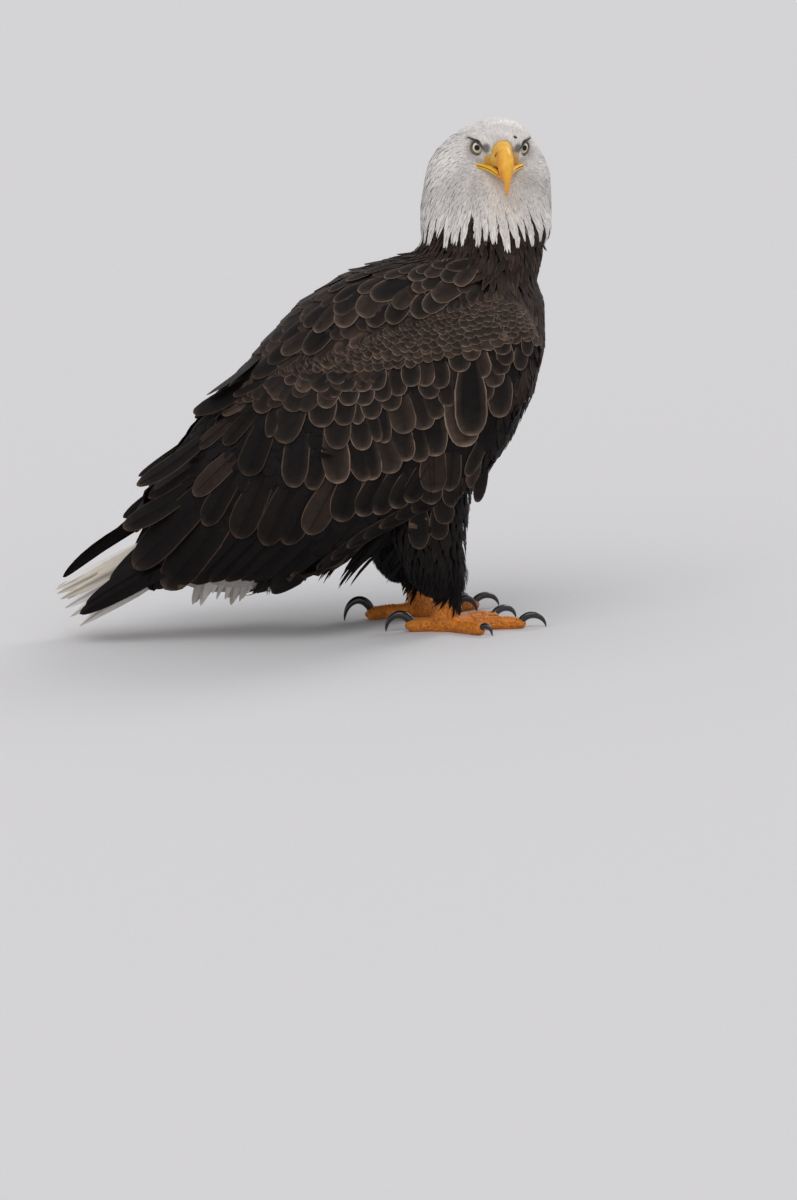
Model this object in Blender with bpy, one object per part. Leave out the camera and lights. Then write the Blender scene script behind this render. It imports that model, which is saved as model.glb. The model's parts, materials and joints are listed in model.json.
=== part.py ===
"""A bald eagle that stands with its wings folded and looks over its right side.

+X is the bird's forward, +Y is its left and +Z is up, in metres. The floor is z = 0, and the
bird's breast and belly are centred on y = 0. Stations and other lists are in millimetres and
become metres where they are used.
"""
import math

import bmesh
import bpy
import numpy as np
from mathutils import Matrix, Vector

MM = 0.001
FIT_GAP = 0.00035       # clearance left where one part is let into another
MERGE = 0.0001          # edges shorter than this are left over from a cut

# Place of the whole bird: the middle of its length and width is over the origin.
SHIFT_X = 2.5           # mm, moves the model so that its box is centred
SHIFT_Y = 0.0

# Head
EYE_MIDDLE = (250.0, 10.0, 583.5)   # point midway between the eyes
HEAD_YAW = 82.0                     # degrees the face is turned to the bird's right
HEAD_ROLL = 4.2                     # degrees the left side of the face hangs lower
EYE_RADIUS = 10.5
EYE_SPREAD = 24.5                   # eyeball centre to the face's middle
EYE_SETBACK = 2.4                   # eyeball centre behind the line between the irises
BROW_FRONT = (15.0, 18.0, 9.0)      # brow's front end: forward, out and up in the head's frame
BROW_LENGTH = 21.0
BROW_SPREAD = 17.0                  # how much further out the brow's rear end is
BROW_RISE = 5.0                     # and how much higher
BROW_THICK = 4.5
EYE_SIDES = 12
EYE_RINGS = 8

# Legs and feet
THIGH_BACK = 8.0         # thigh's middle behind the ankle
TOE_RADIUS = 9.0
THIN_TOE = 0.92          # outer and middle toes are this much thinner
TOE_SIT = 0.82           # toe's middle height as a share of its radius: its underside is flat
CLAW_OVERLAP = 2.0       # claw's root starts this far short of the toe's end
CLAW_TIP_Z = 0.7         # a claw's point rests just clear of the floor
CLAW_ARC = 118.0         # degrees that a claw bends through
CLAW_TAPER = 0.6
CLAW_STEPS = 7

# Plumage
TAIL_THICK = 7.0
TAIL_EDGE = 0.35         # thickness at the tail's side edges as a share of the middle's
WING_EDGE = 0.25         # thickness at the wing's edges as a share of the middle's


def clear_scene():
    for item in list(bpy.data.objects):
        bpy.data.objects.remove(item, do_unlink=True)


def new_collection(name):
    group = bpy.data.collections.new(name)
    bpy.context.scene.collection.children.link(group)
    return group


def material(name, colour, roughness, metallic=0.0):
    mat = bpy.data.materials.new(name)
    mat.use_nodes = True
    shader = mat.node_tree.nodes["Principled BSDF"]
    shader.inputs["Base Color"].default_value = (*colour, 1.0)
    shader.inputs["Roughness"].default_value = roughness
    shader.inputs["Metallic"].default_value = metallic
    mat.diffuse_color = (*colour, 1.0)
    return mat


# ---------------------------------------------------------------- shapes

def spline(stations, steps):
    """Rows in between the stations, on a curve that passes through each of them."""
    rows = np.array(stations, dtype=float)
    padded = np.vstack([2 * rows[0] - rows[1], rows, 2 * rows[-1] - rows[-2]])
    out = []
    for i in range(len(rows) - 1):
        a, b, c, d = padded[i:i + 4]
        for k in range(steps):
            t = k / steps
            out.append(0.5 * (2 * b + (c - a) * t + (2 * a - 5 * b + 4 * c - d) * t ** 2
                              + (3 * b - a - 3 * c + d) * t ** 3))
    out.append(rows[-1])
    return out


def rounded(angle, squareness):
    """A point of a unit superellipse: 2 is round, more is squarer."""
    c, s = math.cos(angle), math.sin(angle)
    power = 2.0 / squareness
    return math.copysign(abs(c) ** power, c), math.copysign(abs(s) ** power, s)


def ring(centre, up, side, sides, squareness=2.0):
    """A closed ring about a centre, with its half height and half width as vectors."""
    points = []
    for k in range(sides):
        c, s = rounded(2 * math.pi * (k + 0.5) / sides, squareness)
        points.append(centre + up * c + side * s)
    return points


def body_rings(stations, steps, sides, squareness=2.1):
    """Rings from stations of top x, top z, low x, low z, middle y and half width."""
    rings = []
    for top_x, top_z, low_x, low_z, y, half_width in spline(stations, steps):
        top, low = Vector((top_x, y, top_z)), Vector((low_x, y, low_z))
        rings.append(ring((top + low) / 2, (top - low) / 2, Vector((0, half_width, 0)),
                          sides, squareness))
    return rings


def level_rings(stations, steps, sides):
    """Level rings from stations of z, middle x, middle y, half length and half width."""
    return [ring(Vector((x, y, z)), Vector((half_x, 0, 0)), Vector((0, half_y, 0)), sides)
            for z, x, y, half_x, half_y in spline(stations, steps)]


def loft(name, rings, group, mat=None, place=None, sheet=False):
    """One closed body through rings of equal count, with its two ends closed.

    A round end is closed by a fan. A sheet's ring runs along its outer face and back along
    its inner one, so each end of a sheet is closed by a strip between the two.
    """
    count = len(rings[0])
    verts = [p for one in rings for p in one]
    faces = []
    for i in range(len(rings) - 1):
        for k in range(count):
            a, b = i * count + k, i * count + (k + 1) % count
            faces += [(a, b, b + count), (a, b + count, a + count)]
    for start in (0, (len(rings) - 1) * count):
        end = []
        if sheet:
            for k in range(count // 2 - 1):
                a, b = start + k, start + count - 1 - k
                end += [(a, b, b - 1), (a, b - 1, a + 1)]
        else:
            verts.append(sum(verts[start:start + count], Vector()) / count)
            end = [(len(verts) - 1, start + (k + 1) % count, start + k) for k in range(count)]
        faces += end if start == 0 else [face[::-1] for face in end]
    shift = Vector((SHIFT_X, SHIFT_Y, 0))
    turn = place or Matrix.Identity(4)
    mesh = bpy.data.meshes.new(name)
    mesh.from_pydata([(turn @ p + shift) * MM for p in verts], [], faces)
    mesh.update()
    body = bpy.data.objects.new(name, mesh)
    group.objects.link(body)
    if signed_volume(mesh) < 0:
        mesh.flip_normals()
    if mat:
        mesh.materials.append(mat)
    mesh.shade_smooth()
    return body


def signed_volume(mesh):
    mesh.calc_loop_triangles()
    total = 0.0
    for tri in mesh.loop_triangles:
        a, b, c = (mesh.vertices[i].co for i in tri.vertices)
        total += a.dot(b.cross(c))
    return total / 6


def tube(name, path, radii, sides, group, mat=None, flat=False, place=None):
    """A round limb along a path; with flat, its underside is cut level with the floor."""
    points = [Vector(p) for p in path]
    rings = []
    for i, p in enumerate(points):
        ahead = points[min(i + 1, len(points) - 1)] - points[max(i - 1, 0)]
        side = Vector((-ahead.y, ahead.x, 0))
        side = side.normalized() if side.length > 1e-6 else Vector((0, 1, 0))
        up = ahead.cross(side)
        up = up.normalized() * (1 if up.z >= 0 else -1) if up.length > 1e-6 else Vector((1, 0, 0))
        one = ring(p, up * radii[i], side * radii[i], sides)
        if flat:
            one = [Vector((q.x, q.y, max(q.z, 0.0))) for q in one]
        rings.append(one)
    return loft(name, rings, group, mat, place)


# ---------------------------------------------------------------- joining and fitting

def apply_modifiers(body):
    graph = bpy.context.evaluated_depsgraph_get()
    mesh = bpy.data.meshes.new_from_object(body.evaluated_get(graph))
    body.modifiers.clear()
    old, body.data = body.data, mesh
    mesh.name = body.name
    bpy.data.meshes.remove(old)


def combine(body, other, operation):
    mod = body.modifiers.new(operation.title(), "BOOLEAN")
    mod.object = other
    mod.operation = operation
    mod.solver = "EXACT"
    apply_modifiers(body)
    body.data.shade_smooth()


def join(body, *others):
    for other in others:
        combine(body, other, "UNION")
        bpy.data.objects.remove(other, do_unlink=True)
    return body


def fit(body, *neighbours):
    """Cuts each neighbour's place out of a body, with a small clearance all round."""
    for neighbour in neighbours:
        cutter = neighbour.copy()
        cutter.data = neighbour.data.copy()
        cutter.name = f"{body.name}_for_{neighbour.name}"
        cutters.objects.link(cutter)
        swell = cutter.modifiers.new("Clearance", "DISPLACE")
        swell.mid_level = 0.0
        swell.strength = FIT_GAP
        apply_modifiers(cutter)
        cutter.hide_render = True
        cutter.display_type = "WIRE"
        combine(body, cutter, "DIFFERENCE")
    return body


def keep_main(body):
    """Deletes the crumbs that a cut leaves beside a body's one large shell."""
    shape = bmesh.new()
    shape.from_mesh(body.data)
    waiting, shells = set(shape.verts), []
    while waiting:
        shell, edge = set(), [waiting.pop()]
        while edge:
            vert = edge.pop()
            shell.add(vert)
            for link in vert.link_edges:
                other = link.other_vert(vert)
                if other in waiting:
                    waiting.discard(other)
                    edge.append(other)
        shells.append(shell)
    main = max(shells, key=len)
    bmesh.ops.delete(shape, geom=[v for v in shape.verts if v not in main], context="VERTS")
    bmesh.ops.dissolve_degenerate(shape, dist=MERGE, edges=shape.edges)
    bmesh.ops.triangulate(shape, faces=shape.faces)
    shape.to_mesh(body.data)
    shape.free()


clear_scene()
bird = new_collection("Bald eagle")
cutters = new_collection("Cutters")

WHITE = material("White feathers", (0.80, 0.78, 0.76), 0.75)
BROWN = material("Brown feathers", (0.030, 0.020, 0.016), 0.65)
BLACK_BROWN = material("Dark wing feathers", (0.018, 0.012, 0.010), 0.6)
BILL = material("Yellow bill horn", (0.85, 0.42, 0.03), 0.35)
CERE = material("Yellow cere skin", (0.82, 0.48, 0.05), 0.5)
EYE = material("Pale eye", (0.72, 0.66, 0.42), 0.1)
SKIN = material("Orange foot skin", (0.75, 0.30, 0.03), 0.55)
CLAW = material("Black claw horn", (0.012, 0.012, 0.014), 0.25)

# ---------------------------------------------------------------- head

face_turn = (Matrix.Translation(Vector(EYE_MIDDLE))
             @ Matrix.Rotation(math.radians(-HEAD_YAW), 4, "Z")
             @ Matrix.Rotation(math.radians(-HEAD_ROLL), 4, "X"))

# In the head's own frame x is forward from the eyes, y is the bird's left and z is up.
SKULL = [
    (-67, -4, -67, -34, 0, 18),
    (-60, 15, -62, -48, 0, 38),
    (-44, 27, -46, -60, 0, 46.5),
    (-24, 33, -28, -60, 0, 47.5),
    (-9, 33.5, -12, -50, 0, 40.5),
    (2, 30.5, -1, -43, 0, 33.5),
    (11, 25, 7, -36, 0, 27),
    (19, 18, 14, -30, 0, 20),
    (25, 9.5, 20, -24, 0, 13),
]
HOOD = [
    (606, 240, 44, 22, 12),
    (601, 238, 45, 34, 22),
    (591, 237, 46, 48.5, 31),
    (578, 234.5, 44, 61.5, 37),
    (562, 233, 39, 71, 43),
    (545, 233.5, 32, 76.5, 47),
    (511, 230, 22, 80, 56),
    (480, 229, 13, 80, 61),
    (467, 228, 9, 76, 58),
]
head = loft("head", body_rings(SKULL, 1, 20), bird, WHITE, face_turn)
hood = loft("hood", level_rings(HOOD, 1, 20), bird, WHITE)
brows = []
for side in (1, -1):
    forward, out, height = BROW_FRONT
    start = Vector((forward, side * out, height))
    end = start + Vector((-BROW_LENGTH, side * BROW_SPREAD, BROW_RISE))
    path = [start.lerp(end, t) for t in (0, 0.1, 0.35, 0.65, 0.9, 1)]
    radii = [BROW_THICK * f for f in (0.3, 0.75, 1, 1, 0.75, 0.3)]
    brows.append(tube("brow", path, radii, 8, bird, WHITE, place=face_turn))
join(head, hood, *brows)

eyes = []
for side, label in ((1, "left"), (-1, "right")):
    centre = Vector((-EYE_SETBACK, side * EYE_SPREAD, 0))
    rings = [ring(centre + Vector((EYE_RADIUS * math.cos(a), 0, 0)),
                  Vector((0, 0, EYE_RADIUS * math.sin(a))),
                  Vector((0, EYE_RADIUS * math.sin(a), 0)), EYE_SIDES)
             for a in (math.pi * k / (EYE_RINGS + 1) for k in range(1, EYE_RINGS + 1))]
    eyes.append(loft(f"eye_{label}", rings, bird, EYE, face_turn))

CERE_STATIONS = [(17, 10.5, 12, -22, 0.8, 12.6), (26, 12, 22, -22, 0.8, 12.4),
                 (37, 9.5, 34, -21.5, 0.4, 12.2)]
HOOK = [
    (37.6, 9, 34.6, -21.5, 0.4, 11.8),
    (49, 4.5, 42, -23, 0.3, 11.5),
    (59, -5.5, 49, -25.5, 0.2, 10.6),
    (66, -19, 55, -30, 0, 8.4),
    (69, -34, 61, -37.5, 0, 4.8),
    (67.5, -48, 64.5, -48, 0, 1.5),
]
JAW = [
    (8, -23, 9, -29, 0, 15),
    (22, -24, 22, -31, 0, 11),
    (36, -25, 35, -33, 0, 9.5),
    (47, -27, 46, -32, 0, 6),
]
BILL_SQUARE = 2.4       # the bill's sections are a little boxy, so its cutting edges stay wide
cere = loft("cere", body_rings(CERE_STATIONS, 1, 16, BILL_SQUARE), bird, CERE, face_turn)
bill_upper = loft("bill_upper", body_rings(HOOK, 1, 16, BILL_SQUARE), bird, BILL,
                  face_turn)
bill_lower = loft("bill_lower", body_rings(JAW, 2, 14), bird, BILL, face_turn)

# ---------------------------------------------------------------- neck, trunk and tail

NECK = [
    (508, 228, 18, 62, 48),
    (490, 227, 15, 70, 56),
    (470, 224, 11, 75, 63),
    (447, 214, 5, 82, 72),
    (425, 206, 1, 84, 78),
    (405, 204, 0, 70, 66),
]
TRUNK = [
    (168, 462, 280, 440, 0, 60),
    (146, 460, 296, 392, 0, 82),
    (102, 450, 295, 338, 0, 96),
    (49, 434, 279, 281, 0, 102),
    (-2, 404, 248, 223, 0, 101),
    (-44, 362, 205, 166, 0, 95),
    (-82, 319, 135, 124, 0, 86),
    (-110, 278, 62, 92, 0, 72),
    (-132, 232, 0, 72, 0, 56),
    (-152, 190, -58, 62, 0, 42),
    (-166, 158, -112, 66, 0, 30),
    (-176, 138, -142, 82, 0, 16),
]
# Tail stations: x, z of the ridge, half width, fall of the sides, thickness
TAIL = [
    (-118, 152, 24, 8, 34),
    (-160, 134, 29, 14, 22),
    (-205, 112, 33, 22, 12),
    (-255, 88, 39, 31, TAIL_THICK),
    (-296, 68, 42, 36, TAIL_THICK * 0.7),
    (-314, 60, 38, 33, TAIL_THICK * 0.4),
]
UNDERTAIL = [
    (-20, 124, -8, 60, 0, 34),
    (-62, 122, -50, 50, 0, 40),
    (-108, 122, -100, 44, 0, 38),
    (-150, 116, -140, 48, 0, 30),
    (-178, 108, -170, 62, 0, 16),
]


def roof_rings(stations, steps, half_count=8):
    """Rings of a sheet that is bent down at both sides like a low roof."""
    rings = []
    for x, z, half_width, fall, thick in spline(stations, steps):
        above, below = [], []
        for k in range(half_count + 1):
            t = 2 * k / half_count - 1
            edge = TAIL_EDGE + (1 - TAIL_EDGE) * math.sqrt(max(0.0, 1 - t * t))
            y, height = half_width * t, z - fall * t * t
            above.append(Vector((x, y, height)))
            below.append(Vector((x, y, height - thick * edge)))
        rings.append(above + below[::-1])
    return rings


neck = loft("neck", level_rings(NECK, 1, 20), bird, BROWN)
trunk = loft("trunk", body_rings(TRUNK, 1, 22), bird, BROWN)
tail = loft("tail", roof_rings(TAIL, 1), bird, WHITE, sheet=True)
undertail = loft("undertail", body_rings(UNDERTAIL, 2, 14), bird, WHITE)
fit(trunk, undertail, tail)
fit(undertail, tail)

# ---------------------------------------------------------------- folded wings

# Wing stations: upper edge x, out, z; lower edge x, out, z; out at the middle; thickness
WING = [
    (276, 60, 392, 290, 62, 352, 66, 10),
    (262, 70, 410, 288, 70, 334, 84, 17),
    (228, 80, 420, 276, 82, 300, 104, 22),
    (180, 86, 408, 256, 90, 262, 116, 24),
    (124, 88, 385, 226, 94, 212, 121, 24),
    (64, 84, 356, 172, 96, 160, 121, 22),
    (6, 74, 334, 84, 96, 128, 117, 20),
    (-44, 60, 322, 14, 93, 86, 109, 18),
    (-86, 40, 304, -50, 86, 78, 98, 16),
    (-122, 22, 280, -104, 76, 75, 84, 14),
    (-160, 13, 232, -152, 66, 70, 68, 12),
    (-196, 10, 190, -196, 57, 62, 55, 10),
]
RIGHT_TIP = [
    (-229, 9, 146, -226, 54, 54, 47, 9),
    (-247, 30, 98, -252, 56, 46, 52, 8),
    (-268, 43, 66, -272, 54, 38, 53, 6),
    (-287, 46, 39, -288, 50, 31, 50, 3),
]
LEFT_TIP = [
    (-229, 10, 150, -228, 54, 66, 48, 9),
    (-254, 28, 121, -258, 50, 72, 45, 8),
    (-284, 34, 94, -288, 44, 66, 42, 6),
    (-305, 35, 75, -306, 38, 64, 38, 3),
]


def wing_rings(stations, side, steps, half_count=9):
    """Rings of a curved sheet that hangs from its upper edge round the bird's flank."""
    rings = []
    for up_x, up_y, up_z, low_x, low_y, low_z, out, thick in spline(stations, steps):
        along = Vector((low_x - up_x, 0, low_z - up_z))
        length = along.length
        along.normalize()
        bulge = 2 * out - (up_y + low_y) / 2
        outer, inner = [], []
        for k in range(half_count + 1):
            t = k / half_count
            y = (1 - t) ** 2 * up_y + 2 * t * (1 - t) * bulge + t * t * low_y
            slope = 2 * (1 - t) * (bulge - up_y) + 2 * t * (low_y - bulge)
            size = math.hypot(slope, length)
            point = Vector((up_x, 0, up_z)) + along * (length * t) + Vector((0, y, 0))
            deep = thick * (WING_EDGE
                            + (1 - WING_EDGE) * math.sqrt(max(0.0, math.sin(math.pi * t))))
            inside = point + (along * slope - Vector((0, length, 0))) / size * deep
            outer.append(Vector((point.x, side * point.y, point.z)))
            inner.append(Vector((inside.x, side * inside.y, inside.z)))
        rings.append(outer + inner[::-1])
    return rings


wing_right = loft("wing_right", wing_rings(WING + RIGHT_TIP, -1, 1), bird, BLACK_BROWN,
                  sheet=True)
wing_left = loft("wing_left", wing_rings(WING + LEFT_TIP, 1, 1), bird, BLACK_BROWN,
                 sheet=True)

# ---------------------------------------------------------------- legs

# Feathered thigh stations: z, middle x, out from the ankle, half length, half width
THIGH = [
    (245, 4, 6, 46, 36),
    (205, -6, 6, 54, 42),
    (160, -13, 4, 52, 42),
    (120, -14, 2, 46, 38),
    (86, -10, 1, 39, 33),
    (62, -3, 0, 30, 27),
    (48, 1, 0, 21, 20),
]
# Shank stations: z, share of the lean from pad to ankle, half length, half width
SHANK = [
    (0, 0, 14, 13.5),
    (9, 0, 16.5, 16),
    (20, 0.3, 16, 15),
    (36, 0.8, 13.5, 12.5),
    (54, 1.1, 12, 11),
    (84, 1.4, 11, 10),
]


class Leg:
    """Where one foot stands: its pad's middle, its heading and its toes."""

    def __init__(self, label, side, pad, ankle, toes, hallux):
        self.label, self.side, self.pad, self.ankle = label, side, pad, ankle
        self.toes, self.hallux = toes, hallux


# Each toe is its claw tip's x and y, the toe's length from the pad, and how high and how
# thick its claw is.
LEGS = [
    Leg("right", -1, (157, -51), (165, -52),
        {"inner": (245, 5, 77, 13.5, 4.4), "middle": (281, -61, 99, 14, 3.8),
         "outer": (215, -105, 64, 10.5, 3.3)},
        (86, -49, 45, 18.5, 4.6)),
    Leg("left", 1, (134, 51), (124, 52),
        {"inner": (198, 53, 43, 17, 4.6), "middle": (225, 86, 70, 14, 3.8),
         "outer": (190, 120, 62, 10.5, 3.3)},
        (36, 31, 72, 21, 4.6)),
]


def toe_and_claw(leg, toe_name, tip_x, tip_y, length, claw_high, claw_thick):
    """A toe from the pad to the claw, and the claw that arches from it to the floor."""
    start = Vector((*leg.pad, 0))
    ahead = Vector((tip_x, tip_y, 0)) - start
    reach = ahead.length
    ahead.normalize()
    size = TOE_RADIUS * (1.0 if toe_name in ("hind", "inner") else THIN_TOE)
    at = (0.1, 0.4, 0.7, 0.93, 1.0)
    swell = (1.1, 1.0, 0.96, 0.92, 0.5)
    path = [start + ahead * (length * f) + Vector((0, 0, size * s * TOE_SIT))
            for f, s in zip(at, swell)]
    toe = tube(f"toe_{toe_name}_{leg.label}", path, [size * s for s in swell], 9, bird, SKIN,
               flat=True)
    # The claw leaves the toe's top a little short of its end, and curves over to the floor.
    arch = math.radians(CLAW_ARC)
    claw_path, radii = [], []
    for k in range(CLAW_STEPS + 1):
        share = k / CLAW_STEPS
        turn = arch * share - (arch - math.pi / 2)
        root = length - CLAW_OVERLAP
        out = root + (reach - root) * math.sin(turn)
        height = max(claw_high * math.cos(turn), CLAW_TIP_Z)
        claw_path.append(start + ahead * out + Vector((0, 0, height)))
        radii.append(max(claw_thick * (1 - share) ** CLAW_TAPER, CLAW_TIP_Z * 0.8))
    claw = tube(f"claw_{toe_name}_{leg.label}", claw_path, radii, 7, bird, CLAW)
    return toe, claw


shanks, thighs = [], []
for leg in LEGS:
    pad_x, pad_y = leg.pad
    ankle_x, ankle_y = leg.ankle
    shank = loft(f"tarsus_{leg.label}", level_rings(
        [(z, pad_x + (ankle_x - pad_x) * lean, pad_y + (ankle_y - pad_y) * lean, half_x, half_y)
         for z, lean, half_x, half_y in SHANK], 1, 12), bird, SKIN)
    shanks.append(shank)
    thighs.append(loft(f"thigh_{leg.label}", level_rings(
        [(z, ankle_x - THIGH_BACK + x, leg.side * (abs(ankle_y) + out), half_x, half_y)
         for z, x, out, half_x, half_y in THIGH], 1, 16), bird, BLACK_BROWN))
    feet = [toe_and_claw(leg, toe_name, *sizes)
            for toe_name, sizes in {**leg.toes, "hind": leg.hallux}.items()]
    toes = [toe for toe, claw in feet]
    for i, toe in enumerate(toes):
        fit(toe, *(claw for _, claw in feet), shank, *toes[:i])

# ---------------------------------------------------------------- fit the parts together

fit(bill_upper, cere)
fit(bill_lower, cere, bill_upper)
fit(head, *eyes, cere, bill_upper, bill_lower)
fit(neck, head)
for thigh, shank in zip(thighs, shanks):
    fit(thigh, shank, wing_right, wing_left)
fit(thighs[1], thighs[0])
fit(undertail, wing_right, wing_left)
fit(trunk, wing_right, wing_left, neck, head, *thighs)

for body in bird.objects:
    keep_main(body)
    body.data.shade_smooth()
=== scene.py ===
# %% [markdown]
# # A bald eagle that stands and looks over its shoulder
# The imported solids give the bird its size, pose and outline. Here they get a bird's surface: one
# skin under the plumage, thousands of thin vanes laid along the body, a horn bill, wet eyes,
# scaly feet and black claws.

# %% Load the frame
import json
import math

import bmesh
import bpy
import numpy as np
from mathutils import Matrix, Vector
from mathutils.bvhtree import BVHTree
from mathutils.kdtree import KDTree
from numpy.linalg import norm

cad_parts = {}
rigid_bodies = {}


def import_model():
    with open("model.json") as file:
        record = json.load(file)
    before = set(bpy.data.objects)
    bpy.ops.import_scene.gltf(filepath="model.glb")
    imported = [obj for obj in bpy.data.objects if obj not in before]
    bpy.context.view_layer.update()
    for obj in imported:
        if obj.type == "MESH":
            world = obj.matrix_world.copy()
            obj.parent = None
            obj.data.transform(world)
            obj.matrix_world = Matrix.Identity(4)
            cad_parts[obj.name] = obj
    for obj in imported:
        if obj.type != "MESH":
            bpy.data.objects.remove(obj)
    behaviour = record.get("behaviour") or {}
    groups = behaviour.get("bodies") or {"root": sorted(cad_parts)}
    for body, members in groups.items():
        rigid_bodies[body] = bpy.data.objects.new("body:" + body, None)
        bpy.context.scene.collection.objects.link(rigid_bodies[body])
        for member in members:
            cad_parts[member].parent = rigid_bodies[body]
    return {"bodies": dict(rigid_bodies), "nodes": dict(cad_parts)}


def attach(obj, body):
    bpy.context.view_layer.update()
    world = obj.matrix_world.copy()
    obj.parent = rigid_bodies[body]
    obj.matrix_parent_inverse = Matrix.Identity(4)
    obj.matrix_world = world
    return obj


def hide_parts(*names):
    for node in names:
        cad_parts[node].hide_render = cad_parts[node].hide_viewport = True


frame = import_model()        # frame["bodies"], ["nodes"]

NODES = frame["nodes"]
for item in list(bpy.data.objects):       # an empty scene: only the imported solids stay
    if item.name not in NODES and item not in frame["bodies"].values():
        bpy.data.objects.remove(item)
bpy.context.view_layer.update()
SIDES = {"right": -1, "left": 1}
MM = 0.001

# %% [markdown]
# ## Camera
# A long lens far away keeps the bird's proportions true. The camera looks along +Y, a little down
# and a little leaned, so the bird is seen from its right side. It is placed by a turn matrix made
# of its own right, up and back directions, which is exact where a target empty would be fiddly.

# %% Camera
CAMERA_AIM = Vector((0.1054, 0.0, 0.0298))
CAMERA_RISE = math.radians(11.0)
CAMERA_LEAN = math.asin(0.043)
CAMERA_FAR = 45.0
VIEW_HEIGHT = 1.464          # metres of the scene that the frame's height takes in

away = Vector((0, math.cos(CAMERA_RISE), -math.sin(CAMERA_RISE)))
level_up = Vector((0, math.sin(CAMERA_RISE), math.cos(CAMERA_RISE)))
view_right = Vector((1, 0, 0)) * math.cos(CAMERA_LEAN) - level_up * math.sin(CAMERA_LEAN)
view_up = Vector((1, 0, 0)) * math.sin(CAMERA_LEAN) + level_up * math.cos(CAMERA_LEAN)
camera_data = bpy.data.cameras.new("Camera")
camera_data.sensor_width = 36.0
camera_data.lens = camera_data.sensor_width * CAMERA_FAR / VIEW_HEIGHT
camera_data.clip_end = 200.0
camera = bpy.data.objects.new("Camera", camera_data)
turn = Matrix((view_right, view_up, -away)).transposed().to_4x4()
camera.matrix_world = Matrix.Translation(CAMERA_AIM - away * CAMERA_FAR) @ turn
bpy.context.scene.collection.objects.link(camera)
bpy.context.scene.camera = camera
bpy.context.scene.view_settings.view_transform = "Standard"
print("camera at", tuple(round(c, 2) for c in camera.location))

# %% [markdown]
# ## Floor and light
# The bird stands on a plain pale floor under an overcast sky. A wide plane and a pale world give
# most of that even light. Broad, soft suns add the gentle shine from above and behind that picks
# out the pale feather edges. A sun lights the whole floor alike, where a lamp leaves a bright
# spot.

# %% Floor and light
def clear_selection():
    for item in bpy.context.selected_objects:
        item.select_set(False)


def select_only(piece):
    clear_selection()
    piece.select_set(True)
    bpy.context.view_layer.objects.active = piece


def soft_sun(name, direction, strength, spread):
    """A sun that shines from a direction, with soft shadows from its wide disc."""
    data = bpy.data.lights.new(name, "SUN")
    data.energy, data.angle = strength, math.radians(spread)
    lamp = bpy.data.objects.new(name, data)
    lamp.rotation_euler = (-Vector(direction)).to_track_quat("-Z", "Y").to_euler()
    lamp.location = Vector(direction).normalized() * 3
    bpy.context.scene.collection.objects.link(lamp)
    return lamp


clear_selection()
bpy.ops.mesh.primitive_plane_add(size=60.0, location=(0, 6, 0))
floor = bpy.context.object
floor.name = "Floor"
floor_paint = bpy.data.materials.new("Floor")
floor_paint.use_nodes = True
floor_shader = floor_paint.node_tree.nodes["Principled BSDF"]
floor_shader.inputs["Base Color"].default_value = (0.635, 0.625, 0.63, 1)
floor_shader.inputs["Roughness"].default_value = 0.9
floor_shader.inputs["Specular IOR Level"].default_value = 0.1
floor.data.materials.append(floor_paint)

sky = bpy.data.worlds.new("Overcast")
sky.use_nodes = True
sky.node_tree.nodes["Background"].inputs["Color"].default_value = (0.94, 0.94, 0.96, 1)
sky.node_tree.nodes["Background"].inputs["Strength"].default_value = 0.72
bpy.context.scene.world = sky
soft_sun("Overhead", (-0.2, -0.55, 1.0), 0.75, 45)
soft_sun("Back light", (0.9, 0.75, 1.0), 0.75, 25)

# %% [markdown]
# ## Colours
# Plumage colours are mixed as a painter would, by name, and written in the usual 0 to 255 scale.
# Light adds up in linear numbers, so they are converted once here.

# %% Colours
def paint(red, green, blue):
    """A linear colour from an everyday 0 to 255 one."""
    c = np.array([red, green, blue]) / 255
    return np.where(c <= 0.04045, c / 12.92, ((c + 0.055) / 1.055) ** 2.4)


WHITE = paint(232, 228, 224)
WARM_WHITE = paint(222, 210, 192)
GREY_WHITE = paint(176, 170, 166)
BROWN = paint(56, 44, 38)
BLACK_BROWN = paint(31, 26, 23)
WING_BLACK = paint(20, 17, 16)
TUFT_BROWN = paint(84, 66, 56)
PALE_EDGE = paint(146, 124, 107)
DIM_EDGE = paint(86, 69, 59)
QUILL = paint(24, 20, 19)
LORE_GREY = paint(150, 148, 140)
FOOT_ORANGE = paint(226, 132, 26)
CERE_YELLOW = paint(226, 172, 56)
print("brown in linear light", BROWN.round(4))

# %% [markdown]
# ## Finishes
# Each vane and the skin carry their colour in an attribute named Tint, so the markings belong to
# the bird. The material adds what is too fine for a mesh: barbs, grain, pores and gloss. The
# helpers below build such node trees with few words.

# %% Material helpers
def finish(name, roughness, sheen=0.0, coat=0.0, specular=0.5):
    """A Principled material with its nodes, links and shader."""
    mat = bpy.data.materials.new(name)
    mat.use_nodes = True
    nodes, links = mat.node_tree.nodes, mat.node_tree.links
    shader = nodes["Principled BSDF"]
    shader.inputs["Roughness"].default_value = roughness
    shader.inputs["Sheen Weight"].default_value = sheen
    shader.inputs["Coat Weight"].default_value = coat
    shader.inputs["Specular IOR Level"].default_value = specular
    return mat, nodes, links, shader


def noise(nodes, links, scale, detail=3.0):
    """Cloudy grain that is fixed to the object."""
    place = nodes.new("ShaderNodeTexCoord")
    cloud = nodes.new("ShaderNodeTexNoise")
    cloud.inputs["Scale"].default_value = scale
    cloud.inputs["Detail"].default_value = detail
    links.new(place.outputs["Object"], cloud.inputs["Vector"])
    return cloud.outputs["Fac"]


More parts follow.
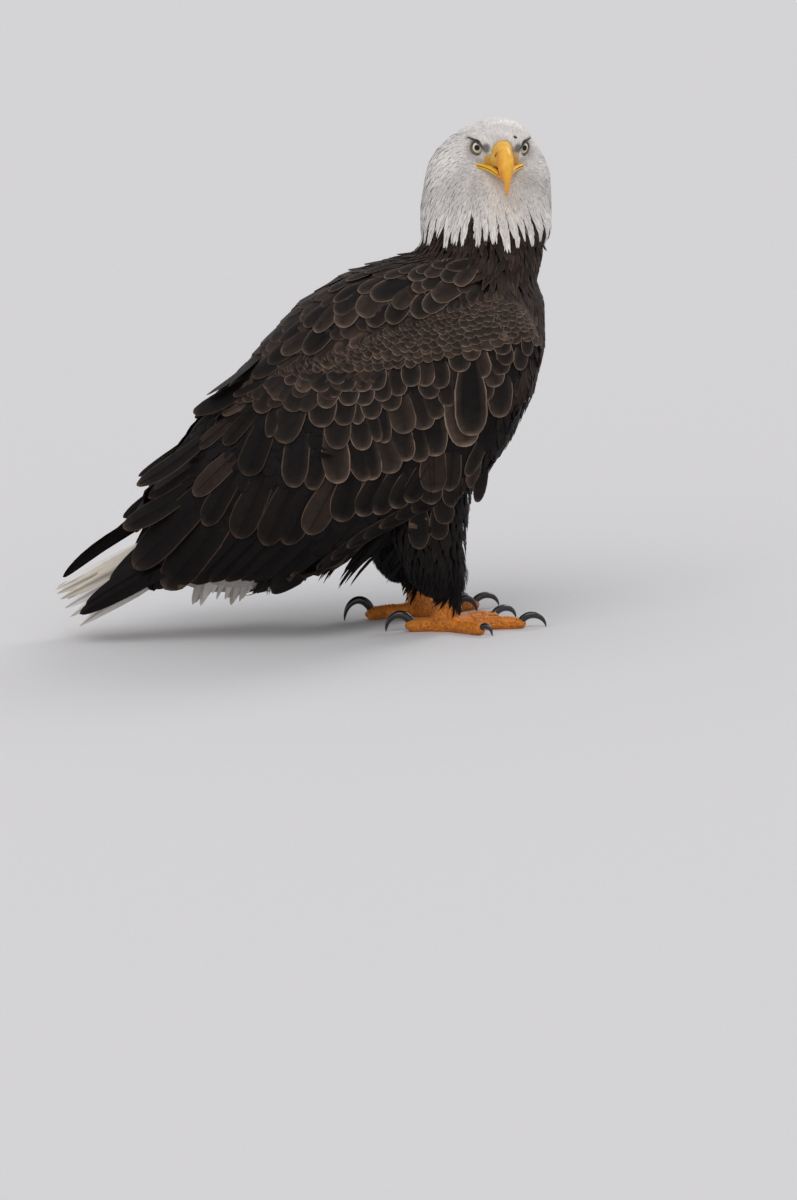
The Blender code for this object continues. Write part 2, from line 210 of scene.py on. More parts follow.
def remap(nodes, links, value, low, high, from_low=0.3, from_high=0.7):
    node = nodes.new("ShaderNodeMapRange")
    links.new(value, node.inputs["Value"])
    for key, number in (("From Min", from_low), ("From Max", from_high),
                        ("To Min", low), ("To Max", high)):
        node.inputs[key].default_value = number
    return node.outputs["Result"]


def scaled(nodes, links, colour, factor):
    node = nodes.new("ShaderNodeVectorMath")
    node.operation = "SCALE"
    links.new(colour, node.inputs["Vector"])
    links.new(factor, node.inputs["Scale"])
    return node.outputs["Vector"]


def relief(nodes, links, shader, height, distance):
    node = nodes.new("ShaderNodeBump")
    node.inputs["Distance"].default_value = distance
    links.new(height, node.inputs["Height"])
    links.new(node.outputs["Normal"], shader.inputs["Normal"])


def tint(nodes):
    node = nodes.new("ShaderNodeAttribute")
    node.attribute_name = "Tint"
    return node.outputs["Color"]


BARB_SPACING = 0.0007
WAVES_PER_UNIT = 20 / (2 * math.pi)     # how many waves the wave node makes in one unit


def feather_finish(name, roughness, sheen, barb_depth, mottle, specular=0.1):
    """Feather web: the tint, a little uneven, with slanted barbs as fine relief."""
    mat, nodes, links, shader = finish(name, roughness, sheen, specular=specular)
    uneven = remap(nodes, links, noise(nodes, links, 110.0), 1 - mottle, 1 + mottle)
    links.new(scaled(nodes, links, tint(nodes), uneven), shader.inputs["Base Color"])
    vane = nodes.new("ShaderNodeUVMap")
    vane.uv_map = "Vane"
    barbs = nodes.new("ShaderNodeTexWave")
    barbs.bands_direction = "X"
    barbs.inputs["Scale"].default_value = 1 / (BARB_SPACING * WAVES_PER_UNIT)
    barbs.inputs["Distortion"].default_value = 1.5
    links.new(vane.outputs["UV"], barbs.inputs["Vector"])
    relief(nodes, links, shader, barbs.outputs["Fac"], barb_depth)
    return mat


def waxy_finish(name, roughness, wrinkle, cell_scale, depth, dark=0.7):
    """Scaly, waxy skin: the tint with painted shade in the creases between small cells."""
    mat, nodes, links, shader = finish(name, roughness, specular=0.45)
    place = nodes.new("ShaderNodeTexCoord")
    cells = nodes.new("ShaderNodeTexVoronoi")
    cells.feature = "DISTANCE_TO_EDGE"
    cells.inputs["Scale"].default_value = cell_scale
    links.new(place.outputs["Object"], cells.inputs["Vector"])
    # The creases are darkened as painted shade; the same value also gives their relief.
    crease_shade_and_relief = remap(nodes, links, cells.outputs["Distance"], dark, 1.0, 0.0, 0.16)
    patchy = remap(nodes, links, noise(nodes, links, wrinkle), 0.82, 1.12)
    shaded = scaled(nodes, links, scaled(nodes, links, tint(nodes), crease_shade_and_relief), patchy)
    links.new(shaded, shader.inputs["Base Color"])
    relief(nodes, links, shader, crease_shade_and_relief, depth)
    return mat


brown_web = feather_finish("Brown feather", 0.6, 0.03, 0.00005, 0.22)
dark_web = feather_finish("Dark flight feather", 0.5, 0.0, 0.00005, 0.18, 0.09)
white_web = feather_finish("White feather", 0.85, 0.1, 0.00003, 0.05, 0.25)
print("webs", brown_web.name, dark_web.name, white_web.name)

# %% [markdown]
# ## The head's own frame
# The head is turned to the side, so it gets a frame of its own: x points forward from between the
# eyes, y to the bird's left and z up. Eyes, brows, bill and the lie of the head's feathers are
# all measured in it.

# %% Head frame
HEAD_TURN = (Matrix.Translation((0.2525, 0.010, 0.5835))
             @ Matrix.Rotation(math.radians(-82.0), 4, "Z")
             @ Matrix.Rotation(math.radians(-4.2), 4, "X"))
HEAD_AXES = np.array(HEAD_TURN)[:3, :3]
HEAD_PLACE = np.array(HEAD_TURN)[:3, 3]
BILL_BASE = np.array([0.020, 0.0, -0.006])
DOWN = np.array([0.0, 0.0, -1.0])
EYE_AT = {side: np.array([-0.0024, sign * 0.0245, 0.0]) for side, sign in SIDES.items()}
EYE_RADIUS = 0.0105
GAZE_OUT = 27.0                # degrees between the bill's direction and each eye's
GAZE_UP = 2.0


def smooth_step(low, high, value):
    t = np.clip((value - low) / (high - low), 0, 1)
    return t * t * (3 - 2 * t)


def blend(first, second, share):
    """The first where the share is 0, the second where it is 1."""
    return first * (1 - share) + np.asarray(second) * share


def in_head(points):
    return (points - HEAD_PLACE) @ HEAD_AXES


def from_head(points):
    return np.asarray(points) @ HEAD_AXES.T + HEAD_PLACE


def gaze(side):
    """Turn from a frame whose z is the line of sight to the head's frame."""
    out = math.radians(GAZE_OUT * side)
    sight = Vector((math.cos(out), math.sin(out), math.tan(math.radians(GAZE_UP)))).normalized()
    across = Vector((0, 0, 1)).cross(sight).normalized()
    return Matrix((across, sight.cross(across), sight)).transposed().to_4x4()


def round_eye(local, side_name):
    """Distance from the line of sight of an eye, and height along it, of points in the head."""
    turn = np.array(gaze(SIDES[side_name]))[:3, :3]
    seen = (local - EYE_AT[side_name]) @ turn
    return np.hypot(seen[:, 0], seen[:, 1]), seen[:, 2]


def head_length(points):
    """Feathers are a few millimetres long at the bill and grow towards the nape."""
    far = norm(in_head(points) - BILL_BASE, axis=1)
    return 0.0032 + 0.0238 * smooth_step(0.020, 0.125, far)


print("face looks along", (HEAD_AXES[:, 0]).round(2))

# %% [markdown]
# ## The form under the feathers
# A bird's outline is the tips of its feathers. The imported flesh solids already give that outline,
# parted by hair-thin gaps. Merged copies of them, swollen a little and fused by a voxel remesh,
# make one closed form. It is smoothed where feathers lie and hardly at all on the feet.

# %% One closed form
FORM_CELL = 0.0026
SWELL = 0.0006
BLADES_FROM_X = -0.195        # behind this the folded wing is only bare flight feathers
FLESH = sorted(n for n in NODES if n in ("head", "neck", "trunk", "undertail")
               or n.startswith(("thigh_", "wing_", "tarsus_", "toe_")))


def read_points(mesh, attribute="co", items="vertices", size=3):
    values = np.zeros(len(getattr(mesh, items)) * size, np.float32)
    getattr(mesh, items).foreach_get(attribute, values)
    return values.reshape(-1, size).astype(float)


def write_points(mesh, points):
    mesh.vertices.foreach_set("co", points.astype(np.float32).ravel())


def read_edges(mesh):
    ends = np.zeros(len(mesh.edges) * 2, np.int32)
    mesh.edges.foreach_get("vertices", ends)
    return ends.reshape(-1, 2)


def read_corners(mesh):
    """The vertex of each face corner."""
    corners = np.zeros(len(mesh.loops), np.int32)
    mesh.loops.foreach_get("vertex_index", corners)
    return corners


def write_tint(mesh, colours):
    """One colour for each vertex, in the attribute that the finishes read."""
    layer = mesh.color_attributes.new("Tint", "FLOAT_COLOR", "POINT")
    four = np.concatenate([colours, np.ones((len(colours), 1))], 1).astype(np.float32)
    layer.data.foreach_set("color", four.ravel())


def link_piece(name, mesh):
    piece = bpy.data.objects.new(name, mesh)
    bpy.context.scene.collection.objects.link(piece)
    return piece


def merged_copy(name):
    """The solid's mesh as joined faces, cut off where only flight feathers go on."""
    solid = bmesh.new()
    solid.from_mesh(NODES[name].data)
    bmesh.ops.remove_doubles(solid, verts=solid.verts, dist=0.00002)
    if name.startswith("wing_"):
        geom = solid.verts[:] + solid.edges[:] + solid.faces[:]
        cut = bmesh.ops.bisect_plane(solid, geom=geom, plane_co=(BLADES_FROM_X, 0, 0),
                                     plane_no=(-1, 0, 0), clear_outer=True)["geom_cut"]
        rim = [e for e in cut if isinstance(e, bmesh.types.BMEdge)]
        bmesh.ops.contextual_create(solid, geom=rim)
    solid.normal_update()
    for vert in solid.verts:
        vert.co += vert.normal * SWELL
    mesh = bpy.data.meshes.new(name + "_copy")
    solid.to_mesh(mesh)
    solid.free()
    return mesh


clear_selection()
copies = []
for name in FLESH:
    piece = link_piece(name + "_copy", merged_copy(name))
    piece.select_set(True)
    copies.append(piece)
bpy.context.view_layer.objects.active = copies[0]
bpy.ops.object.join()
form = bpy.context.object
form.name = "Form"
remesh = form.modifiers.new("Fuse", "REMESH")
remesh.mode, remesh.voxel_size = "VOXEL", FORM_CELL
bpy.ops.object.modifier_apply(modifier="Fuse")
feathered = form.vertex_groups.new(name="feathered")
shell_of = np.arange(len(form.data.vertices))
edges = read_edges(form.data)
changed = True
while changed:                # each vertex takes the lowest number that its shell holds
    before = shell_of.copy()
    lowest = np.minimum(shell_of[edges[:, 0]], shell_of[edges[:, 1]])
    np.minimum.at(shell_of, edges[:, 0], lowest)
    np.minimum.at(shell_of, edges[:, 1], lowest)
    shell_of = shell_of[shell_of]
    changed = bool((shell_of != before).any())
crumbs = np.flatnonzero(shell_of != np.bincount(shell_of).argmax())
trimmed = bmesh.new()
trimmed.from_mesh(form.data)
trimmed.verts.ensure_lookup_table()
bmesh.ops.delete(trimmed, geom=[trimmed.verts[int(i)] for i in crumbs], context="VERTS")
trimmed.to_mesh(form.data)
trimmed.free()
heights = read_points(form.data)[:, 2]
for lowest, weight in ((0.0, 0.25), (0.07, 0.7), (0.10, 1.0)):
    feathered.add([int(i) for i in np.flatnonzero(heights >= lowest)], weight, "REPLACE")
soften = form.modifiers.new("Soften", "SMOOTH")
soften.factor, soften.iterations, soften.vertex_group = 0.5, 14, "feathered"
bpy.ops.object.modifier_apply(modifier="Soften")
print("form", len(form.data.polygons), "faces")

# %% [markdown]
# A feather asks the form two things: where its surface is nearest to a point, and which way it
# faces there. A BVH tree answers the first at once. The facing is averaged over neighbours, so
# feathers don't stand up at every voxel step.

# %% Asking the form
def unit(vectors):
    return vectors / np.maximum(norm(vectors, axis=-1, keepdims=True), 1e-12)


def dot(a, b):
    return (a * b).sum(-1)


class Surface:
    """A mesh that answers where it is nearest and which way it faces there."""

    def __init__(self, mesh, smoothing=6):
        self.points = read_points(mesh)
        self.normals = read_points(mesh, "normal")
        edges = read_edges(mesh)
        for _ in range(smoothing):
            total = self.normals.copy()
            np.add.at(total, edges[:, 0], self.normals[edges[:, 1]])
            np.add.at(total, edges[:, 1], self.normals[edges[:, 0]])
            self.normals = unit(total)
        self.faces = read_corners(mesh).reshape(-1, 4)          # the remesh leaves only quads
        self.facing = unit(self.normals[self.faces].mean(1))
        self.centres = self.points[self.faces].mean(1)
        self.areas = read_points(mesh, "area", "polygons", 1)[:, 0]
        self.tree = BVHTree.FromPolygons(self.points.tolist(), self.faces.tolist())

    def near(self, points):
        """The nearest places on the surface and its smoothed normals there."""
        places, normals = np.empty_like(points), np.empty_like(points)
        for i, point in enumerate(points):
            place, _, face, _ = self.tree.find_nearest(point)
            places[i], normals[i] = place, self.facing[face]
        return places, normals

    def from_side(self, xz, side):
        """Where level rays from one side (-1 right, 1 left) meet the surface, or nan."""
        out = np.full((len(xz), 3), np.nan)
        for i, (x, z) in enumerate(xz):
            hit = self.tree.ray_cast((x, side * 0.5, z), (0, -side, 0))[0]
            if hit is not None:
                out[i] = hit
        return out


guide = Surface(form.data)
label_points, label_faces, label_of = [], [], []
for index, name in enumerate(FLESH):
    start = len(label_points)
    mesh = NODES[name].data
    label_points += [v.co.copy() for v in mesh.vertices]
    for face in mesh.polygons:
        label_faces.append([start + i for i in face.vertices])
        label_of.append(index)
solids = BVHTree.FromPolygons(label_points, label_faces)


def solid_at(points):
    """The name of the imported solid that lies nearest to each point."""
    return np.array([FLESH[label_of[solids.find_nearest(p)[2]]] for p in points])


face_solid = solid_at(guide.centres)
print({name: int((face_solid == name).sum()) for name in FLESH})

# %% [markdown]
# ## The skin
# The skin is that form drawn in by the depth of the coat: a few millimetres on the body, nothing
# on the bare feet. Thin places, such as a wing's edge, are drawn in by a share of their own
# thickness, so the skin never turns inside out. It wears the colours of the feathers over it,
# so no pale gap shows between two vanes.

# %% Skin
COAT_DEPTH = 0.0055
HEAD_DEPTH = 0.0028


SHANK_TOP = 0.055             # below this the legs are bare
FEET_FROM_X = 0.01            # behind this there is only plumage, however low


def bare(points):
    """1 on the bare legs and feet, 0 where feathers grow."""
    return np.clip((SHANK_TOP - points[:, 2]) / 0.010, 0, 1) * (points[:, 0] > FEET_FROM_X)


skin = form.copy()
skin.data = form.data.copy()
skin.name = "Skin"
bpy.context.scene.collection.objects.link(skin)
depth = np.zeros(len(guide.points))
for i, (point, normal) in enumerate(zip(guide.points, guide.normals)):
    hit = guide.tree.ray_cast(point - normal * 0.0008, -normal)[3]
    depth[i] = 0.35 * (hit or 0.1)
on_head = np.minimum(HEAD_DEPTH, 0.0004 + 0.06 * head_length(guide.points))
depth = np.minimum(depth, np.where(guide.points[:, 2] > 0.5, on_head, COAT_DEPTH))
depth *= 1 - bare(guide.points)
skin_points = guide.points - guide.normals * depth[:, None]
for side_name, side in SIDES.items():          # a seat for each eyeball, under its lids
    far, height = round_eye(in_head(skin_points), side_name)
    seat = 0.0062 + 0.0026 * smooth_step(0.0085, 0.0120, far)
    extra = np.where((far < 0.0125) & (height > 0), np.maximum(height - seat, 0), 0)
    sight = HEAD_AXES @ np.array(gaze(side))[:3, 2]
    skin_points -= extra[:, None] * sight
skin_points[:, 2] = np.maximum(skin_points[:, 2], 0)        # the soles stay on the ground
write_points(skin.data, skin_points)
skin.data.update()
select_only(skin)
thin = skin.modifiers.new("Thin", "DECIMATE")
thin.ratio, thin.vertex_group, thin.vertex_group_factor = 0.4, "feathered", 1.0
bpy.ops.object.modifier_apply(modifier="Thin")
skin.vertex_groups.clear()
print("skin", len(skin.data.polygons), "faces, deepest", round(float(depth.max()) * 1000, 1), "mm")

# %% [markdown]
# ## What a feather is made of
# A contour feather is a flat vane with a stiff quill down its middle. It is modelled as a thin
# closed shell: rings of points across it, set at stations from the root to the tip. A ring starts
# at the left edge, goes over the top and comes back underneath. Small vanes need only four points
# in a ring. Patterned vanes get an inner line beside each edge, so that a pale border can be
# painted, and flight feathers get a raised quill as well.

# %% Vane patterns
class Pattern:
    """A vane's stations along it, widths there, and its ring of points across.

    A ring point is (share of the half width, height above the vane in metres, share of the
    border colour, share of the quill colour). Border shares along the vane add to the ring's.
    """

    def __init__(self, stations, widths, ring, border=None):
        self.stations = np.array(stations, float)      # the last one is the tip's single point
        self.widths = np.array(widths, float)
        self.ring = np.array(ring, float)
        self.border = np.array([0.0] * len(stations) if border is None else border)


def rounded_widths(stations, full_from=0.55, root=0.55, power=2.3):
    """Half widths of a vane with a blunt round tip."""
    out = []
    for t in stations:
        if t < full_from:
            out.append(root + (1 - root) * math.sin(math.pi / 2 * t / full_from))
        else:
            s = min(1.0, (t - full_from) / (1 - full_from))
            out.append((1 - s ** power) ** (1 / power))
    return out


def pointed_widths(stations, widest=0.35):
    """Half widths of a lance-shaped vane."""
    out = []
    for t in stations:
        if t < widest:
            out.append(0.4 + 0.6 * math.sin(math.pi / 2 * t / widest))
        else:
            out.append(math.cos(math.pi / 2 * (t - widest) / (1 - widest)) ** 0.8)
    return out


THIN, HAIR = 0.00022, 0.00014
LANCE_T = (0, 0.3, 0.6, 0.85, 1)
LANCE = Pattern(LANCE_T, pointed_widths(LANCE_T),
                [(1, 0, 0, 0), (0, 0.0003, 0, 0), (-1, 0, 0, 0), (0, -HAIR, 0, 0)])
SCALE_T = (0, 0.35, 0.62, 0.8, 0.91, 0.965, 1)
SCALE = Pattern(SCALE_T, rounded_widths(SCALE_T),
                [(1, -0.5 * THIN, 1, 0), (0.84, THIN, 0.07, 0), (-0.84, THIN, 0.07, 0),
                 (-1, -0.5 * THIN, 1, 0), (-0.5, -THIN, 0.3, 0), (0.5, -THIN, 0.3, 0)],
                border=[0, 0, 0, 0.02, 0.12, 0.7, 1])
COVERT_T = (0, 0.2, 0.4, 0.58, 0.72, 0.84, 0.92, 0.965, 0.99, 1)
COVERT = Pattern(COVERT_T, rounded_widths(COVERT_T, 0.6),
                 [(1, -THIN, 1, 0), (0.88, 0, 0.10, 0), (0.5, THIN, 0, 0),
                  (0, 3 * THIN, 0, 0.6), (-0.5, THIN, 0, 0), (-0.88, 0, 0.10, 0),
                  (-1, -THIN, 1, 0), (0, -2 * THIN, 0.3, 0)],
                 border=[0, 0, 0, 0, 0.02, 0.06, 0.12, 0.35, 1, 1])
FLIGHT_T = (0, 0.12, 0.24, 0.36, 0.48, 0.6, 0.7, 0.79, 0.86, 0.92, 0.96, 0.985, 1)
FLIGHT = Pattern(FLIGHT_T, rounded_widths(FLIGHT_T, 0.72, 0.6, 2.0),
                 [(1, -2 * THIN, 1, 0), (0.9, 0, 0.05, 0), (0.06, 2 * THIN, 0, 0),
                  (0, 7 * THIN, 0, 1), (-0.06, 2 * THIN, 0, 0), (-0.9, 0, 0.05, 0),
                  (-1, -2 * THIN, 1, 0), (0, -3 * THIN, 0.3, 0)],
                 border=[0] * 9 + [0.1, 0.3, 1, 1])
print("triangles in a lance, scale, covert and flight vane:",
      [2 * len(p.ring) * (len(p.stations) - 1) - 2 for p in (LANCE, SCALE, COVERT, FLIGHT)])

# %% [markdown]
# ## Laying feathers
# Each feather starts at its root on the form and walks along it in steps: a step ahead, then back
# to the surface. Past an edge, such as the back of a wing, it goes straight on and stands free.
# The root is sunk and the tip rides a little proud, so every row covers the roots of the next one,
# and a small tilt makes one vane's edge lie over its neighbour's.

# %% Laying feathers on the form
random = np.random.default_rng(7)
bell = random.standard_normal        # draws round 0 on a bell curve, most of them within 1
EDGE_TURN = 0.45        # facings that differ more than this cosine mean an edge was passed
WRAP_REACH = 0.010      # a vane does not bend down to a surface further off than this


def along_surface(directions, normals):
    return unit(directions - normals * dot(directions, normals)[:, None])


class Laid:
    """Centre lines of feathers on the form: places, facings and directions at each station."""

    def __init__(self, roots, directions, lengths, stations):
        place, facing = guide.near(roots)
        heading = along_surface(directions, facing)
        free = np.zeros(len(roots), bool)
        places, facings, headings = [place], [facing], [heading]
        for step in np.diff(stations):
            reach = (lengths * step)[:, None]
            ahead = place + heading * reach
            found, turned = guide.near(ahead)
            lost = norm(found - ahead, axis=1) > 0.6 * reach[:, 0] + 0.004
            free |= (dot(turned, facing) < EDGE_TURN) | lost
            place = np.where(free[:, None], ahead, found)
            facing = np.where(free[:, None], facing, turned)
            heading = along_surface(heading, facing)
            places.append(place)
            facings.append(facing)
            headings.append(heading)
        self.places, self.facings, self.headings = (np.stack(a, 1) for a in
                                                    (places, facings, headings))


class Hung:
    """Centre lines on free curves: root, a bend point and tip for each feather."""

    def __init__(self, roots, bends, tips, facings, stations):
        roots, bends, tips = (np.asarray(a, float)[:, None] for a in (roots, bends, tips))
        t = np.asarray(stations)[None, :, None]
        self.places = (1 - t) ** 2 * roots + 2 * t * (1 - t) * bends + t * t * tips
        slope = 2 * (1 - t) * (bends - roots) + 2 * t * (tips - bends)
        self.headings = unit(slope)
        facing = np.broadcast_to(unit(np.asarray(facings, float))[:, None], slope.shape)
        self.facings = unit(facing - self.headings * dot(facing, self.headings)[..., None])


def vanes(laid, pattern, half_widths, sink, proud, tilt=0.0, curl=0.0, wrap=False, wobble=0.05):
    """Points of every vane, as an array of feathers, stations, ring and axes."""
    count, stations = laid.places.shape[:2]
    across = np.cross(laid.facings, laid.headings)
    t = pattern.stations
    lift = (-sink + (sink + proud) * t ** 0.8 + curl * t ** 4)
    lift = np.broadcast_to(lift, (count, stations)) if np.ndim(sink) == 0 else lift
    widths = half_widths[:, None] * pattern.widths
    widths = widths * (1 + wobble * bell((count, stations)))
    share, height = pattern.ring[:, 0], pattern.ring[:, 1]
    off = widths[:, :, None] * share                        # feathers, stations, ring
    centre = laid.places[:, :, None, :] + across[:, :, None, :] * off[..., None]
    facing = np.broadcast_to(laid.facings[:, :, None, :], centre.shape)
    if wrap:                                                # wide vanes bend round the body
        flat = centre[:, :-1].reshape(-1, 3)
        found, turned = guide.near(flat)
        own = facing[:, :-1].reshape(-1, 3)
        stay = (dot(turned, own) < EDGE_TURN) | (norm(found - flat, axis=1) > WRAP_REACH)
        found = np.where(stay[:, None], flat, found)
        centre = centre.copy()
        centre[:, :-1] = found.reshape(centre[:, :-1].shape)
    rise = lift[:, :, None] + height + tilt * share * t[None, :, None]
    return centre + facing * rise[..., None]


BODY_AXIS = unit(np.array([0.46, 0.0, 0.32]))
BODY_REAR, BODY_LENGTH = np.array([-0.30, 0, 0.05]), 0.80
BODY_MIDDLE = np.array([-0.06, 0, 0.22])
HEAD_FROM_Z, HOOD_FOOT, HEAD_TALL = 0.49, 0.44, 0.19


def unwrap(points):
    """Where a place lies on the skin's unwrap: round the body's long axis, and along it."""
    on_head = points[:, 2] > HEAD_FROM_Z
    along = (points - BODY_REAR) @ BODY_AXIS / BODY_LENGTH
    up = (points - BODY_MIDDLE) @ np.cross(BODY_AXIS, (0, -1, 0))
    round_body = np.arctan2(points[:, 1], up) / (2 * np.pi) + 0.5
    round_head = np.arctan2(points[:, 1] - 0.02, points[:, 0] - 0.235) / (2 * np.pi) + 0.5
    u = np.where(on_head, round_head, round_body)
    v = np.where(on_head, (points[:, 2] - HOOD_FOOT) / HEAD_TALL, along)
    return np.stack([u, np.clip(v, 0, 1)], 1)


class Coat:
    """Collects batches of vanes and makes them one mesh piece, or a few if they are many."""

    LIMIT = 190000            # triangles in one piece

    def __init__(self, name, material, slot="brown_feathers"):
        self.name, self.material, self.slot, self.batches = name, material, slot, []

    def add(self, points, pattern, lengths, half_widths, base, border, patch=0.003,
            root_shade=0.7):
        """points: feathers, stations, ring, axes. The colours are one, or one per feather."""
        count, stations, ring = points.shape[:3]
        shape = (count, stations, ring, 3)
        base, border = (np.broadcast_to(np.asarray(c)[..., None, None, :]
                                        if np.ndim(c) == 2 else c, shape)
                        for c in (base, border))
        edge = np.clip(pattern.ring[:, 2] + pattern.border[:, None], 0, 1)[None, :, :, None]
        colour = blend(base, border, edge)
        stem = (pattern.ring[:, 3] * (pattern.border[:, None] < 0.3))[None, :, :, None]
        colour = blend(colour, QUILL, stem)
        # Painted shade: each vane is darker towards its root, where the feathers over it shade it.
        fade = np.clip(pattern.stations / 0.35, 0, 1)
        colour = colour * (root_shade + (1 - root_shade) * fade)[None, :, None, None]
        share = pattern.ring[:, 0]
        across = (half_widths[:, None] * pattern.widths)[:, :, None] * share
        along = np.broadcast_to((lengths[:, None] * pattern.stations)[:, :, None], across.shape)
        vane_map = np.stack([along - 0.9 * np.abs(across), across], -1)
        spot = unwrap(points[:, 0].mean(1))
        local = np.stack(np.broadcast_arrays(
            (share * 0.5)[None, :] * pattern.widths[:, None], pattern.stations[:, None]), -1)
        bake_map = 0.008 + 0.98 * spot[:, None, None, :] + patch * local[None]

        def with_tip(values):
            body = values[:, :-1].reshape(count, -1, values.shape[-1])
            return np.concatenate([body, values[:, -1].mean(1, keepdims=True)], 1)

        self.batches.append((with_tip(points), with_tip(colour), with_tip(vane_map),
                             with_tip(bake_map), stations - 1, ring))

    def build(self):
        made, waiting, load = [], [], 0
        for batch in self.batches:
            each = 2 * batch[5] * batch[4] - 2
            room = max(1, self.LIMIT // each)
            for start in range(0, len(batch[0]), room):
                part = tuple(a[start:start + room] for a in batch[:4]) + batch[4:]
                size = len(part[0]) * each
                if load + size > self.LIMIT:
                    made.append(self._piece(waiting, len(made)))
                    waiting, load = [], 0
                waiting.append(part)
                load += size
        made.append(self._piece(waiting, len(made)))
        self.batches = []
        for piece in made:
            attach(piece, "root")
            print(piece.name, len(piece.data.polygons), "faces")
        return made

    def _piece(self, batches, index):
        corners, starts, maps = [], [], ([], [])
        points, colours, at, first = [], [], 0, 0
        for place, colour, vane_map, bake_map, rings, ring in batches:
            count, each = place.shape[:2]
            grid = np.arange(rings * ring).reshape(rings, ring)
            beside = np.roll(grid, -1, axis=1)
            quads = np.stack([grid[:-1], beside[:-1], beside[1:], grid[1:]], -1).reshape(-1)
            tips = np.stack([grid[-1], beside[-1], np.full(ring, rings * ring)], -1).reshape(-1)
            order = np.concatenate([quads, tips, grid[0][::-1]])
            sizes = np.concatenate([np.full((rings - 1) * ring, 4), np.full(ring, 3), [ring]])
            offsets = np.concatenate([[0], np.cumsum(sizes)[:-1]])
            shift = np.arange(count)[:, None]
            corners.append((at + shift * each + order).ravel())
            starts.append((first + shift * len(order) + offsets).ravel())
            maps[0].append(bake_map[:, order].reshape(-1, 2))
            maps[1].append(vane_map[:, order].reshape(-1, 2))
            points.append(place.reshape(-1, 3))
            colours.append(colour.reshape(-1, 3))
            at += count * each
            first += count * len(order)
        corners, starts, points = (np.concatenate(a) for a in (corners, starts, points))
        name = self.name + (f"_{index + 1}" if index else "")
        mesh = bpy.data.meshes.new(name)
        mesh.vertices.add(len(points))
        write_points(mesh, points)
        mesh.loops.add(len(corners))
        mesh.loops.foreach_set("vertex_index", corners.astype(np.int32))
        mesh.polygons.add(len(starts))
        mesh.polygons.foreach_set("loop_start", starts.astype(np.int32))
        mesh.update(calc_edges=True)
        for label, values in zip(("OFBake", "Vane"), maps):
            layer = mesh.uv_layers.new(name=label)
            layer.uv.foreach_set("vector", np.concatenate(values).astype(np.float32).ravel())
        write_tint(mesh, np.concatenate(colours))
        mesh.shade_smooth()
        mesh.set_sharp_from_angle(angle=math.radians(60))
        mesh.materials.append(self.material)
        return link_piece(name, mesh)


def hang(coat, roots, bends, tips, facings, half, base, border, pattern, patch=0.03,
         camber=0.0):
    """Feathers on their own curves. They face one way, or each its own."""
    facings = np.broadcast_to(np.asarray(facings, float), tips.shape)
    laid = Hung(roots, bends, tips, facings, pattern.stations)
    lengths = norm(np.asarray(tips) - np.asarray(roots), axis=1)
    halves = np.broadcast_to(np.asarray(half, float), lengths.shape)
    points = vanes(laid, pattern, halves, 0.0, 0.0, wobble=0.01)
    share = pattern.ring[:, 0]
    points -= laid.facings[:, :, None] * (camber * share ** 2)[None, None, :, None]
    coat.add(points, pattern, lengths, halves, base, border, patch=patch, root_shade=0.9)


def uneven(places, amount):
    """A factor near 1 for each place."""
    return 1 + amount * bell(len(places))


def varied(colour, count, amount=0.15, other=None):
    """One shade per feather, each a little lighter or darker, some towards another colour."""
    shades = np.asarray(colour) * np.exp(amount * bell((count, 1)))
    if other is not None:
        share = random.random((count, 1)) ** 2
        shades = blend(shades, other, share)
    return shades


print("feather kit ready, random draws start at seed 7")

# %% [markdown]
# ## Where feathers grow
# Feathers grow in tracts with a clear lie: back from the bill, down the neck, back and down over
# the trunk. Roots are scattered at an even spacing, as skin grows them, by drawing too many places
# and striking out those that lie too close to one that is kept. Faces hidden between the wing and
# the body get none.

# %% Scattering roots
def open_faces(reach=0.03):
    """True for each face of the form that has nothing close in front of it."""
    clear = np.ones(len(guide.centres), bool)
    for i, (centre, facing) in enumerate(zip(guide.centres, guide.facing)):
        start = centre + facing * 0.0015
        clear[i] = guide.tree.ray_cast(start, facing, reach)[0] is None
    return clear


def scatter(mask, spacing):
    """Root places on the masked faces, with one spacing in all or one for each face."""
    spacing = np.broadcast_to(spacing, mask.shape)
    chosen = np.flatnonzero(mask)
    share = guide.areas[chosen] / spacing[chosen] ** 2
    drawn = random.choice(chosen, size=max(int(share.sum() * 3.5), 1), p=share / share.sum())
    a, b = random.random((2, len(drawn), 1))
    corner = guide.points[guide.faces[drawn]]
    points = ((corner[:, 0] * (1 - a) + corner[:, 1] * a) * (1 - b)
              + (corner[:, 3] * (1 - a) + corner[:, 2] * a) * b)
    tree = KDTree(len(points))
    for i, point in enumerate(points):
        tree.insert(point, i)
    tree.balance()
    gone, kept = np.zeros(len(points), bool), []
    for i, point in enumerate(points):
        if not gone[i]:
            kept.append(i)
            for _, j, _ in tree.find_range(point, spacing[drawn[i]]):
                gone[j] = True
    return points[kept], drawn[kept]


clear = open_faces()
print("open faces", int(clear.sum()), "of", len(clear))

# %% [markdown]
# ## The white head
# The head's feathers start as bristles of a few millimetres at the bill and grow to long, narrow,
# pointed ones on the hood. They lie away from the bill first, and more and more downwards. At the
# hem they cling together in locks: each root near the hem looks for the nearest lock and leans to
# its tip, and no feather reaches past it. That makes the ragged white edge over the dark neck.

# %% Locks of the hood
NECK_MIDDLE = np.array([0.2315, 0.013])
NECK_HALF = np.array([0.080, 0.061])
